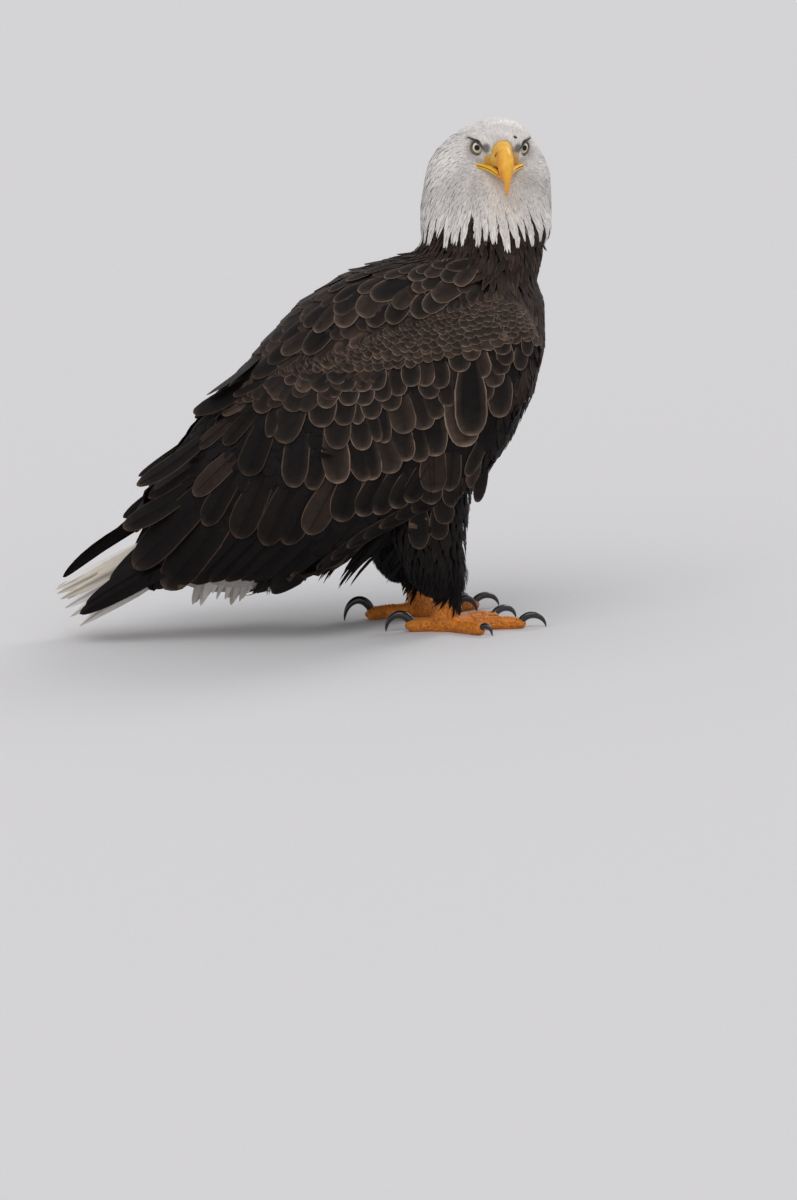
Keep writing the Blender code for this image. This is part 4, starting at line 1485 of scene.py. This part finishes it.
# The loose tufts: each feather's tip x and z and half width in millimetres
TUFT_TIPS = np.array([(-144, 39, 6), (-138, 37, 6), (-132, 44, 6), (-124, 52, 5), (-116, 47, 3.5),
                      (-105, 43, 4.5), (-100, 36, 6), (-95, 40, 5), (-89, 41, 4.5), (-83, 52, 4),
                      (-75, 51, 3.5), (-55, 47, 2)])
TUFT_T = (0, 0.25, 0.5, 0.7, 0.84, 0.94, 1)
TUFT = Pattern(TUFT_T, rounded_widths(TUFT_T, 0.55, 0.35, 1.5), HACKLE.ring, [0] * len(TUFT_T))
for side in SIDES.values():
    for layer, (shift, out) in enumerate(((0.0, 24), (2.5, 18))):
        tips = np.stack([TUFT_TIPS[:, 0] + shift, np.full(len(TUFT_TIPS), side * out),
                         TUFT_TIPS[:, 1] + 2 * layer], 1) * MM
        tips += 0.0012 * bell(tips.shape)
        longer = 1 + 0.1 * bell((len(tips), 1))
        roots = tips + np.array([0.030, 0, 0.052]) * longer
        roots[:, 1] *= 0.6
        bends = tips + np.array([0.008, 0, 0.026])
        shades = varied(WHITE * 0.78, len(tips), 0.07, WARM_WHITE * 0.6)
        hang(undertail_coat, roots, bends, tips, [0.1, side, 0.1],
             TUFT_TIPS[:, 2] * MM, shades, shades * 0.9, pattern=TUFT, patch=0.006)
undertail_coat.build()

# %% [markdown]
# ## The folded wing
# A folded wing shows its feathers in rows, like tiles: scale-like lesser coverts over the bend of
# the wing, then median and greater coverts, each longer than the one above, and last the black
# flight feathers. The rows of a real bird are never even. So each large feather is placed by
# itself, by its tip, its lean, its width and its length, and only the small ones are laid in
# rows by rule. A feather is walked along the form from its root to its tip.

# %% Places of the large feathers
# Each one: its tip's x and z, degrees from straight down towards the tail, half width and length
# in millimetres, and its tone, from black, 0, to pale brown, 3
TERTIALS = [
    (-226, 144, 58, 13, 116, 0), (-192, 176, 52, 10, 88, 1), (-137, 185, 46, 13, 88, 2),
    (-129, 238, 48, 9, 63, 2), (-98, 245, 42, 10, 63, 1), (-73, 211, 24, 16, 83, 0),
    (-126, 150, 32, 13, 88, 0), (-215, 95, 44, 20, 165, 0), (-175, 69, 38, 21, 165, 0),
    (-87, 135, 26, 16, 95, 1), (-54, 126, 26, 15, 95, 1), (-28, 126, 26, 14, 88, 0),
    (-1, 139, 30, 15, 88, 2), (38, 153, 18, 15, 81, 0), (63, 159, 30, 13, 76, 0),
    (83, 160, 32, 13, 76, 0), (104, 167, 34, 13, 73, 0), (122, 173, 30, 12, 68, 0),
    (151, 168, -2, 13, 68, 1), (154, 184, 2, 15, 71, 2), (173, 184, 8, 11, 66, 1),
    (176, 162, 4, 12, 54, 1), (-207, 196, 54, 11, 122, 0)]
FLIGHT_FEATHERS = [
    (-141, 75, 44, 15, 152, 0), (-121, 78, 46, 13, 152, 0), (-101, 78, 46, 13, 152, 0),
    (-82, 78, 48, 13, 152, 0), (-62, 78, 50, 13, 152, 0), (-43, 77, 54, 12, 150, 0),
    (-23, 77, 56, 12, 144, 0), (-6, 82, 59, 9, 138, 0), (9, 92, 60, 8, 134, 0),
    (27, 104, 60, 8, 128, 0), (47, 118, 62, 8, 122, 0), (67, 129, 64, 8, 116, 0),
    (87, 141, 64, 8, 110, 0), (107, 152, 64, 8, 98, 0), (127, 160, 58, 11, 85, 0)]
COVERTS = [
    (-16, 197, 8, 15, 81, 0), (6, 194, 14, 12, 68, 0), (39, 201, -4, 16, 78, 2),
    (-27, 250, 20, 17, 78, 1), (-43, 256, 14, 8, 51, 1),
    (21, 269, 6, 16, 61, 0), (40, 243, 2, 15, 67, 1), (-55, 283, 32, 14, 56, 1),
    (-19, 288, 36, 15, 61, 1), (-98, 278, 60, 6, 39, 3), (-81, 294, 62, 6, 37, 2),
    (-67, 302, 58, 7, 37, 1), (-35, 299, 32, 8, 37, 3), (26, 291, 18, 12, 49, 2),
    (49, 271, 2, 13, 56, 0), (83, 278, 0, 12, 51, 1), (64, 272, 12, 8, 37, 2),
    (71, 241, -6, 13, 61, 1), (82, 204, -12, 14, 76, 0), (72, 203, -16, 12, 76, 0),
    (104, 211, -8, 16, 73, 2), (124, 226, -12, 13, 73, 1), (141, 224, -10, 13, 73, 0),
    (159, 230, -4, 15, 71, 0), (98, 249, -8, 10, 61, 0), (90, 251, -14, 8, 61, 1),
    (124, 260, -12, 15, 61, 2), (147, 264, -10, 15, 61, 1), (161, 276, -6, 13, 56, 1),
    (177, 291, -2, 11, 51, 1), (240, 272, 0, 15, 73, 1), (222, 294, -10, 13, 61, 1),
    (235, 311, -8, 13, 49, 2), (243, 325, -10, 12, 40, 1), (249, 336, -6, 10, 34, 1),
    (246, 349, -6, 10, 30, 1), (264, 328, 12, 10, 41, 1), (272, 344, 10, 9, 34, 1),
    (194, 332, -6, 12, 44, 1), (220, 323, -12, 12, 46, 2), (208, 345, -6, 11, 39, 2),
    (156, 301, -8, 12, 46, 1), (148, 316, 8, 11, 39, 2), (168, 313, -6, 12, 41, 1),
    (133, 316, -2, 11, 39, 1), (109, 288, -10, 13, 51, 1), (117, 305, -4, 11, 41, 1),
    (98, 299, -6, 11, 41, 1), (75, 294, -2, 12, 46, 1), (55, 294, 4, 12, 46, 1),
    (38, 303, 8, 9, 37, 0), (52, 310, 4, 12, 41, 1), (73, 310, 2, 12, 41, 2),
    (90, 312, -2, 12, 41, 1), (15, 311, 36, 13, 46, 1), (-5, 310, 38, 11, 41, 3),
    (36, 320, 32, 13, 44, 1), (26, 339, 34, 12, 41, 2), (52, 334, 30, 12, 39, 2),
    (-1, 324, 40, 10, 37, 2), (-61, 313, 68, 5, 32, 3), (60, 364, 58, 7, 32, 3),
    (42, 346, 68, 6, 32, 3), (42, 356, 52, 7, 29, 3), (-20, 318, 50, 8, 34, 2),
    (197, 259, -4, 12, 61, 1)]
LOOSE_COVERTS = [
    (198, 240, -6, 20, 105, 2), (204, 254, 0, 18, 90, 0)]
SCAPULARS = [
    (-134, 279, 60, 12, 95, 0), (-85, 309, 58, 11, 68, 0), (-116, 300, 52, 13, 88, 0),
    (20, 378, 44, 12, 68, 2), (7, 383, 52, 10, 61, 1), (-22, 351, 54, 12, 73, 2),
    (6, 353, 44, 13, 73, 0), (45, 399, 54, 13, 61, 1), (51, 384, 34, 15, 61, 2),
    (76, 397, 48, 17, 68, 2), (86, 387, 42, 13, 61, 1), (110, 390, 38, 12, 56, 0),
    (89, 419, 68, 15, 61, 0), (74, 423, 64, 10, 46, 2), (44, 411, 60, 8, 51, 0),
    (106, 438, 70, 8, 39, 2), (118, 407, 42, 11, 41, 2), (139, 398, 48, 13, 51, 0),
    (153, 404, 52, 12, 49, 1), (164, 417, 62, 13, 46, 2), (142, 425, 52, 11, 41, 2),
    (152, 429, 62, 10, 37, 1), (137, 437, 62, 12, 44, 1), (156, 441, 64, 10, 37, 2),
    (124, 444, 72, 8, 34, 1), (145, 445, 74, 8, 34, 1), (176, 437, 62, 11, 37, 1),
    (193, 431, 42, 10, 37, 2), (-24, 363, 50, 8, 56, 0), (-59, 322, 52, 12, 76, 1),
    (-39, 340, 54, 11, 68, 0), (-82, 298, 54, 11, 73, 0), (-106, 283, 58, 10, 73, 0),
    (181, 449, 78, 8, 37, 1), (164, 451, 80, 8, 37, 1), (60, 432, 70, 8, 56, 0),
    (83, 440, 72, 8, 49, 0), (38, 420, 62, 8, 56, 0)]
FLANK_FEATHERS = [
    (167, 140, -2, 12, 44, 1), (158, 121, 2, 11, 39, 0),
    (206, 163, 10, 8, 73, 0), (198, 185, 14, 8, 56, 2), (195, 201, 28, 8, 56, 1),
    (134, 110, 2, 12, 54, 0)]
TONES = np.array([WING_BLACK * 0.9, BLACK_BROWN * 0.8, BROWN * 0.72, TUFT_BROWN * 0.85])
print("large feathers on each side:", sum(map(len, (
    TERTIALS, FLIGHT_FEATHERS, COVERTS, LOOSE_COVERTS, SCAPULARS, FLANK_FEATHERS))))

# %% Laying single feathers
REAR_PAINTED_SHADE = 0.82             # painted shade: the rear half of the wing is darker than its front
REAR_WIDTH = np.array([(-0.29, 0.046), (-0.215, 0.060), (-0.13, 0.070), (0.25, 0.080)]).T


def lay_places(coat, table, side, pattern, edge=1.0, sink=0.0035, proud=0.0012, tilt=0.0004,
               jitter=0.0, raise_by=0.0, patch=0.008, out=None, lower=0.0):
    """Feathers from a table of places, on one side of the bird."""
    table = np.array(table, float)
    tips = table[:, :2] * MM + jitter * bell((len(table), 2))
    lean = np.radians(table[:, 2] + (2.5 if jitter else 0.0) * bell(len(table)))
    lie = np.stack([-np.sin(lean), -np.cos(lean)], 1)
    lengths = table[:, 4] * MM
    ends = guide.from_side(tips, side)
    roots = np.full((len(tips), 3), np.nan)
    for share in (1.0, 0.85, 0.7, 0.55, 0.4, 0.28):
        lost = np.isnan(roots[:, 0])
        roots[lost] = guide.from_side(tips[lost] - lie[lost] * (lengths[lost] * share)[:, None],
                                      side)
        lengths[lost] = table[lost, 4] * MM * share
    good = ~np.isnan(roots[:, 0])
    heading = np.stack([lie[:, 0], 0 * lie[:, 0], lie[:, 1]], 1)
    whole = good & ~np.isnan(ends[:, 0])
    straight = ends[whole] - roots[whole]
    heading[whole] = unit(straight)
    lengths[whole] = norm(straight, axis=1) * 1.02
    past = good & np.isnan(ends[:, 0])                # these reach past the body into the air
    out_at = side * (np.interp(tips[:, 0], *REAR_WIDTH) if out is None
                     else np.full(len(tips), out))
    for chosen in (whole, past):
        if not chosen.any():
            continue
        root, head, length, half, tip = (a[chosen] for a in (roots, heading, lengths,
                                                            table[:, 3] * MM * 1.15, tips))
        if chosen is whole:
            laid = Laid(root, head, length, pattern.stations)
        else:
            place, facing = guide.near(root)
            end = np.stack([tip[:, 0], out_at[chosen], tip[:, 1] - lower], 1)
            bend = place + along_surface(end - place, facing) * (0.45 * length)[:, None]
            laid = Hung(place - facing * sink, bend, end, facing, pattern.stations)
        points = vanes(laid, pattern, half, sink - raise_by, proud + raise_by,
                       tilt=-side * tilt, wrap=chosen is whole, wobble=0.02)
        tone = table[chosen, 5].astype(int)
        base = TONES[tone] * np.exp(0.1 * bell((len(tone), 1)))
        base *= REAR_PAINTED_SHADE + (1 - REAR_PAINTED_SHADE) * smooth_step(0.03, 0.16, tip[:, 0])[:, None]
        coat.add(points, pattern, length, half, base, border_at(tip, tone, edge), patch=patch)
    return int(good.sum())


def border_at(tips, tone, strength=1.0):
    """Pale thin borders on the front of the wing, dimmer and browner ones behind."""
    pale = smooth_step(-0.09, 0.10, tips[:, 0])[:, None] * 0.8 + 0.2 * (tone[:, None] > 1)
    shade = blend(DIM_EDGE, PALE_EDGE, pale)
    return shade * strength * np.exp(0.15 * bell((len(tips), 1)))


print("tones", len(TONES), "from black to pale brown")

# %% [markdown]
# The lesser coverts are the scales on the bend of the wing. Their rows follow its arch: the first
# row runs just under the arch, and each next row is pushed further along the lie of the feathers.
# The scales grow from row to row.

# %% Lesser coverts
# Along the arch from the breast to the back: x, z, lean in degrees and depth of the scaled band
ARCH = np.array([(292, 345, 2, 10), (287, 372, -4, 26), (274, 398, -8, 40), (252, 412, -2, 54),
                 (230, 415, 8, 60), (208, 411, 18, 64), (186, 405, 26, 68), (164, 400, 32, 74),
                 (139, 392, 36, 70), (114, 385, 38, 66), (89, 374, 42, 56), (62, 363, 46, 44),
                 (37, 354, 48, 32), (10, 344, 50, 22), (-15, 335, 52, 14), (-42, 323, 54, 9)],
                float)
# Each row: its place in the band from 0 to 1, half width and length in millimetres
SCALE_ROWS = [(0.97, 8.4, 25), (0.83, 8.2, 24), (0.70, 7.8, 23), (0.57, 7.2, 22), (0.45, 6.6, 20),
              (0.34, 6.0, 18), (0.24, 5.3, 16), (0.15, 4.6, 14), (0.07, 4.0, 12)]


def scale_row(share, half, length):
    """One row of scales as a table of places, evenly spaced along the arch."""
    lean = np.radians(ARCH[:, 2])
    shift = np.stack([-np.sin(lean), -np.cos(lean)], 1) * (ARCH[:, 3] * share)[:, None]
    line = ARCH[:, :2] + shift
    far = np.concatenate([[0], np.cumsum(norm(np.diff(line, axis=0), axis=1))])
    at = np.arange(half * random.random(), far[-1], half * 1.5)
    x_at, z_at, lean_at, depth = (np.interp(at, far, column) for column in
                                  (line[:, 0], line[:, 1], ARCH[:, 2], ARCH[:, 3]))
    room = random.random(len(at)) < depth / 32           # fewer rows fit where the band is thin
    slim = np.interp(x_at, [40, 140, 220], [0.85, 0.8, 1.0])
    tone = np.where(random.random(len(at)) < 0.3, 2, 1)
    return np.stack([x_at, z_at, lean_at + 4 * bell(len(at)), half * slim,
                     np.full(len(at), length), tone], 1)[room]


print("scale rows", len(SCALE_ROWS))

# %% The wings
wing_lower_edge = np.array([(-190, 66), (-140, 75), (-60, 76), (-10, 82), (27, 104), (87, 141),
                            (127, 160), (200, 190)], float).T * MM
arch_line = ARCH[::-1, :2].T * MM
JITTER = {"right": 0.0, "left": 0.003}      # the left wing is like the right, not its mirror
# How far the free tips on the left hang lower, so that they stay close behind the back's line
DROP_TERTIALS = {"right": 0.0, "left": 0.014}
DROP_SCAPULARS = {"right": 0.0, "left": 0.022}
wing_coats = {}
for side_name, side in SIDES.items():
    jitter = JITTER[side_name]
    coat = wing_coats[side_name] = Coat(f"wing_coverts_{side_name}", brown_web)
    flight = Coat(f"flight_feathers_{side_name}", dark_web, "dark_wing_feathers")
    mask = (on_wing & clear & (outward > -0.2) & (np.sign(y) == side) & (x < covert_front)
            & (z > np.interp(x, *wing_lower_edge) + 0.036)
            & (z < np.interp(x, *arch_line) - 0.010))
    roots, faces = scatter(mask, 0.012)
    lean = np.interp(roots[:, 0], np.array([-200, -100, 0, 150]) * MM,
                     np.radians([45, 35, 15, -5]))
    lie = np.stack([-np.sin(lean), 0 * lean, -np.cos(lean)], 1)
    lengths = np.full(len(roots), 0.040)
    base = varied(WING_BLACK, len(roots), 0.1)
    lay_lances(flight, roots, lie, lengths, lengths * 0.24, base, base * 1.3, 0.0045, -0.0012,
               pattern=SCALE, stray=0.05, patch=0.005)
    lay_places(flight, FLIGHT_FEATHERS, side, FLIGHT, 0.25, 0.004, 0.0006, jitter=jitter,
               patch=0.02)
    lay_places(flight, TERTIALS, side, FLIGHT, 0.75, 0.0035, 0.0016, jitter=jitter, patch=0.02,
               lower=DROP_TERTIALS[side_name])
    lay_places(coat, COVERTS, side, COVERT, jitter=jitter)
    for level, place in enumerate(LOOSE_COVERTS):
        lay_places(coat, [place], side, COVERT, jitter=jitter, raise_by=0.0018 + 0.0016 * level)
    flank = FLANK_FEATHERS if side < 0 else FLANK_FEATHERS[3:]
    lay_places(coat, flank, side, COVERT, 0.55, proud=0.002, jitter=jitter)
    count = sum(lay_places(coat, scale_row(*row), side, SCALE, 0.85, 0.0016, 0.0008, 0.0002,
                           0.0009, patch=0.005) for row in SCALE_ROWS)
    flight.build()
print("lesser coverts on the last side", count)

# %% [markdown]
# ## Mantle and scapulars
# Broad brown feathers cover the back between the wings. The largest of them, the scapulars, hang
# over each wing's upper edge like a shawl, and their tips make the stepped outline of the back.

# %% Mantle and scapulars
mantle_coat = Coat("mantle_feathers", brown_web)
back = (on["trunk"] & clear & (facing_z > 0.1) & (z > 0.22) & (z < 0.452) & (x < 0.225))
roots, faces = scatter(back, np.where(x > 0.13, 0.0095, 0.0125))
grow = smooth_step(0.19, 0.02, roots[:, 0])
lengths = (0.024 + 0.034 * grow) * uneven(roots, 0.12)
lie = body_lie(roots, guide.facing[faces]) + 0.06 * bell(roots.shape)
laid = Laid(roots, lie, lengths, COVERT.stations)
halves = lengths * (0.34 - 0.10 * grow)
points = vanes(laid, COVERT, halves, 0.004, 0.0008, tilt=0.0003, wrap=True, wobble=0.02)
base = varied(BLACK_BROWN * 1.05, len(roots), 0.12, BROWN)
mantle_coat.add(points, COVERT, lengths, halves, base,
                DIM_EDGE * np.exp(0.2 * bell((len(roots), 1))), patch=0.008)
for side_name, side in SIDES.items():
    lay_places(mantle_coat, SCAPULARS, side, COVERT, 0.75, 0.0035, 0.0016,
               jitter=JITTER[side_name], raise_by=0.0012, out=0.045,
               lower=DROP_SCAPULARS[side_name])
    wing_coats[side_name].build()
mantle_coat.build()

# %% [markdown]
# ## Bare blades and the tail
# Behind the body there is no form to lie on. The longest primaries of each wing, and the tail's
# twelve broad white feathers, are each hung on their own smooth curve from a root inside the body
# to the tip. The tail feathers fan out and overlap like a low roof, and the dark tips of the
# wings lie over them on both sides.

# %% Blades on curves
BLADE = Pattern(FLIGHT_T, rounded_widths(FLIGHT_T, 0.55, 0.75, 1.9), FLIGHT.ring, FLIGHT.border)
# Primaries: root, bend, tip and half width in millimetres; y is out from the middle
PRIMARIES = {
    "right": [((-115, 72, 130), (-200, 64, 88), (-284, 49, 39), 13.0),
              ((-115, 70, 142), (-198, 62, 100), (-276, 47, 50), 12.0),
              ((-120, 68, 150), (-195, 58, 110), (-260, 44, 60), 11.0),
              ((-125, 64, 170), (-190, 50, 130), (-246, 36, 76), 9.5)],
    "left": [((-120, 70, 165), (-245, 44, 124), (-303, 37, 69), 9.0),
             ((-120, 66, 168), (-240, 42, 122), (-296, 36, 76), 8.0),
             ((-125, 60, 172), (-225, 42, 130), (-272, 33, 92), 8.0),
             ((-130, 56, 180), (-205, 36, 146), (-252, 26, 108), 8.5)],
}
for side_name, side in SIDES.items():
    blades = PRIMARIES[side_name]
    flip = np.array([1, side, 1]) * MM
    roots, bends, tips = (np.array([b[k] for b in blades], float) * flip for k in range(3))
    coat = Coat(f"primaries_{side_name}", dark_web, "dark_wing_feathers")
    hang(coat, roots, bends, tips, [0.0, side, 0.35], np.array([b[3] for b in blades]) * MM,
         varied(WING_BLACK, len(blades), 0.08), WING_BLACK * 1.3, BLADE, camber=0.0015)
    coat.build()

# The tips of the tail's six pairs, from the middle pair on top to the outer pair below
TAIL_TIPS = np.array([(-313, 5, 62), (-311, 11, 58), (-307, 17, 52), (-302, 23, 42),
                      (-296, 29, 32), (-285, 35, 21)], float) * MM
pair = np.repeat(np.arange(6), 2)
hand = np.tile([-1.0, 1.0], 6)[:, None]
spread = (pair[:, None] + 0.5) / 6 * hand
ones = np.ones_like(hand)
TAIL_FEATHERS = len(pair)
tail_tips = TAIL_TIPS[pair] * np.concatenate([ones, hand, ones], 1)
tail_tips[hand[:, 0] > 0] += np.array([0.003, 0, 0.002])
tail_roots = np.concatenate([-0.118 * ones, 0.018 * spread, 0.137 - 0.012 * spread ** 2], 1)
tail_bends = (tail_roots + tail_tips) / 2 + np.array([0, 0, 0.003])
tail_faces = np.concatenate([0.30 * ones, spread - 0.65, ones], 1)
RAGGED_T = (0, 0.15, 0.3, 0.45, 0.6, 0.72, 0.82, 0.9, 0.95, 0.98, 1)
RECTRIX = Pattern(RAGGED_T, rounded_widths(RAGGED_T, 0.5, 0.6, 1.25), COVERT.ring,
                  [0] * len(RAGGED_T))
tail_coat = Coat("tail_feathers", white_web, "white_feathers")
tail_base = varied(WHITE * 0.92, TAIL_FEATHERS, 0.08, WARM_WHITE * 0.8)
hang(tail_coat, tail_roots, tail_bends, tail_tips, tail_faces, 0.0150, tail_base,
     tail_base * 0.95, pattern=RECTRIX, camber=0.0008)
for piece in tail_coat.build():
    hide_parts("tail")

# %% [markdown]
# ## Claws and the scales of the feet
# A claw is a long cone of horn, bent like a sickle, black and glossy. Its stations lie on a curve
# that rises from the toe's end and falls to the point on the ground. The bare toes carry a row of
# broad plates on top, the scutes, and small round scales everywhere else. Both are laid like
# feathers, but short and tight, and each plate is bent round the toe.

# %% Claws
# Each foot's pad, and for each toe its claw's tip, the toe's length, the height of the claw's arch
# and the claw's thickness, in millimetres
FEET = {
    "right": ((159.5, -51), {
        "inner": (247.5, 5, 77, 15, 4.2), "middle": (283.5, -61, 99, 15.5, 4.0),
        "outer": (217.5, -105, 64, 12, 3.5), "hind": (88.5, -49, 45, 21, 4.7)}),
    "left": ((136.5, 51), {
        "inner": (200.5, 53, 43, 18, 4.5), "middle": (227.5, 86, 70, 15.5, 3.9),
        "outer": (192.5, 120, 62, 12, 3.4), "hind": (38.5, 31, 72, 25, 4.7)}),
}
# A claw follows part of an oval: degrees round it from the tip, and share of the full thickness
CLAW_ARCH = [(158, 0.8), (135, 1.0), (110, 1.0), (86, 0.92), (62, 0.78), (40, 0.58), (20, 0.36),
             (6, 0.18), (1, 0.06)]
claw_horn = horn_finish("Claw horn", 0.22, 0.5)
CLAW_BLACK = paint(16, 16, 18)
for side_name, (pad, toes) in FEET.items():
    for toe, (tip_x, tip_y, toe_length, arch, thick) in toes.items():
        pad_at, tip_at = np.array(pad), np.array((tip_x, tip_y))
        ahead = unit(tip_at - pad_at)
        span = norm(tip_at - pad_at) - toe_length
        stations = []
        for degrees, swell in CLAW_ARCH:
            turn = math.radians(degrees)
            along = toe_length + span * (0.36 + 0.64 * math.cos(turn))
            place = pad_at + ahead * along
            stations.append((place[0], place[1], arch * math.sin(turn) + 0.3, thick * swell))
        name = f"claw_{toe}_{side_name}"
        claw = tube(f"horn_{name}", np.array(stations) * MM, claw_horn, CLAW_BLACK, 16, 4, 1.12)
        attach(claw, "root")
        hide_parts(name)
print("claws", sum(len(toes) for _, toes in FEET.values()))

# %% Foot scales
SCUTE_T = (0, 0.15, 0.5, 0.85, 1)
SCUTE = Pattern(SCUTE_T, [0.8, 1, 1, 0.88, 0],
                [(1, -0.0007, 0.8, 0), (0.82, 0.0001, 0.15, 0), (0.4, 0.0004, 0, 0),
                 (-0.4, 0.0004, 0, 0), (-0.82, 0.0001, 0.15, 0), (-1, -0.0007, 0.8, 0),
                 (0, -0.0012, 0.5, 0)], border=[0.7, 0.2, 0, 0.15, 0.9])
PEBBLE_T = (0, 0.3, 0.72, 1)
PEBBLE = Pattern(PEBBLE_T, [0.75, 1, 0.8, 0],
                 [(1, -0.0005, 0.8, 0), (0.55, 0.0003, 0, 0), (-0.55, 0.0003, 0, 0),
                  (-1, -0.0005, 0.8, 0), (0, -0.0009, 0.6, 0)], border=[0.7, 0, 0, 0.8])
foot_skin = waxy_finish("Foot skin", 0.45, 60.0, 420.0, 0.0004)
foot_coat = Coat("foot_scales", foot_skin, "foot_skin")
on_top = np.zeros(len(guide.centres), bool)
for pad, toes in FEET.values():
    for tip_x, tip_y, toe_length, *_ in toes.values():
        pad_at, tip_at = np.array(pad) * MM, np.array((tip_x, tip_y)) * MM
        ahead = unit(tip_at - pad_at)
        at = np.arange(14, toe_length - 1, 4.3) * MM
        roots = np.column_stack([pad_at + ahead * at[:, None], np.full(len(at), 0.030)])
        lie = np.broadcast_to([*ahead, 0.0], roots.shape)
        lengths = np.full(len(at), 0.0056)
        halves = np.linspace(6.6, 5.4, len(at)) * MM
        laid = Laid(roots, lie, lengths, SCUTE.stations)
        points = vanes(laid, SCUTE, halves, 0.0004, 0.0009, wrap=True, wobble=0.03)
        base = varied(FOOT_ORANGE * 1.05, len(at), 0.10)
        # Painted shade: each plate's edges are darker, in the creases between plates.
        foot_coat.add(points, SCUTE, lengths, halves, base, base * 0.35, patch=0.003)
        from_pad = guide.centres[:, :2] - pad_at
        along, aside = from_pad @ ahead, from_pad @ np.array([-ahead[1], ahead[0]])
        on_top |= ((np.abs(aside) < 0.0052) & (along > 0.013) & (along < toe_length * MM)
                   & (guide.facing[:, 2] > 0.2))
mask = (bare(guide.centres) > 0.6) & (z > 0.001) & (facing_z > -0.5) & ~on_top
roots, faces = scatter(mask, 0.0031)
middle = np.where(roots[:, 1:2] < 0, [FEET["right"][0]], [FEET["left"][0]]) * MM
spread_out = np.column_stack([roots[:, :2] - middle, np.full(len(roots), -0.004)])
lie = np.where(roots[:, 2:3] > 0.022, DOWN, unit(spread_out))
lengths = 0.0038 * uneven(roots, 0.12)
base = varied(FOOT_ORANGE * 0.95, len(roots), 0.14)
# Painted shade: each small scale's edges are darker, in the creases between scales.
lay_lances(foot_coat, roots, lie, lengths, lengths * 0.5, base, base * 0.4, 0.0002, 0.0006,
           pattern=PEBBLE, stray=0.1, tilt=0.0, patch=0.003)
foot_coat.build()

# %% [markdown]
# ## Skin colours
# The skin is dyed by the part that it belongs to: white under the hood, grey round the eyes,
# black-brown on the body and orange on the feet. Where feathers cover it the finish is matt. On
# the feet it is waxy, with fine wrinkles.

# %% Dye the skin
skin_at = read_points(skin.data)
part_at = solid_at(skin_at)
dye = np.tile(BLACK_BROWN, (len(skin_at), 1))
is_white = (((part_at == "head") | (part_at == "neck"))
            & (skin_at[:, 2] > hood_hem(skin_at) - 0.012))
dye[is_white] = WHITE * 0.9
dye[(part_at == "undertail") & (skin_at[:, 0] < -0.06)] = GREY_WHITE
local = in_head(skin_at)
for side_name, side in SIDES.items():
    far, height = round_eye(local, side_name)
    near_eye = (smooth_step(0.0125, 0.0105, far) * (height > 0))[:, None]
    dye = blend(dye, LORE_GREY * 0.5, near_eye)
cheek = norm((mirrored(local) - CERE_FLARE[0]) / CERE_FLARE[1], axis=1)
cheek = smooth_step(1.25, 0.9, cheek)[:, None]
dye = blend(dye, CERE_YELLOW * 0.95, cheek)
dye = blend(dye, FOOT_ORANGE, bare(skin_at)[:, None])
write_tint(skin.data, dye)
layer = skin.data.uv_layers.new(name="OFBake")
layer.uv.foreach_set("vector", unwrap(skin_at)[read_corners(skin.data)].astype(np.float32).ravel())

under_skin = feather_finish("Skin under feathers", 0.9, 0.0, 0.0001, 0.1)
skin.data.materials.clear()
skin.data.materials.append(under_skin)
skin.data.materials.append(foot_skin)
for face in skin.data.polygons:
    on_foot = face.center.z < SHANK_TOP and face.center.x > FEET_FROM_X
    face.material_index = 1 if on_foot else 0
skin.data.uv_layers.new(name="Vane")
skin.data.shade_smooth()
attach(skin, "root")
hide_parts(*FLESH)
bpy.data.objects.remove(form)
print("skin dyed over", len(set(part_at)), "parts")
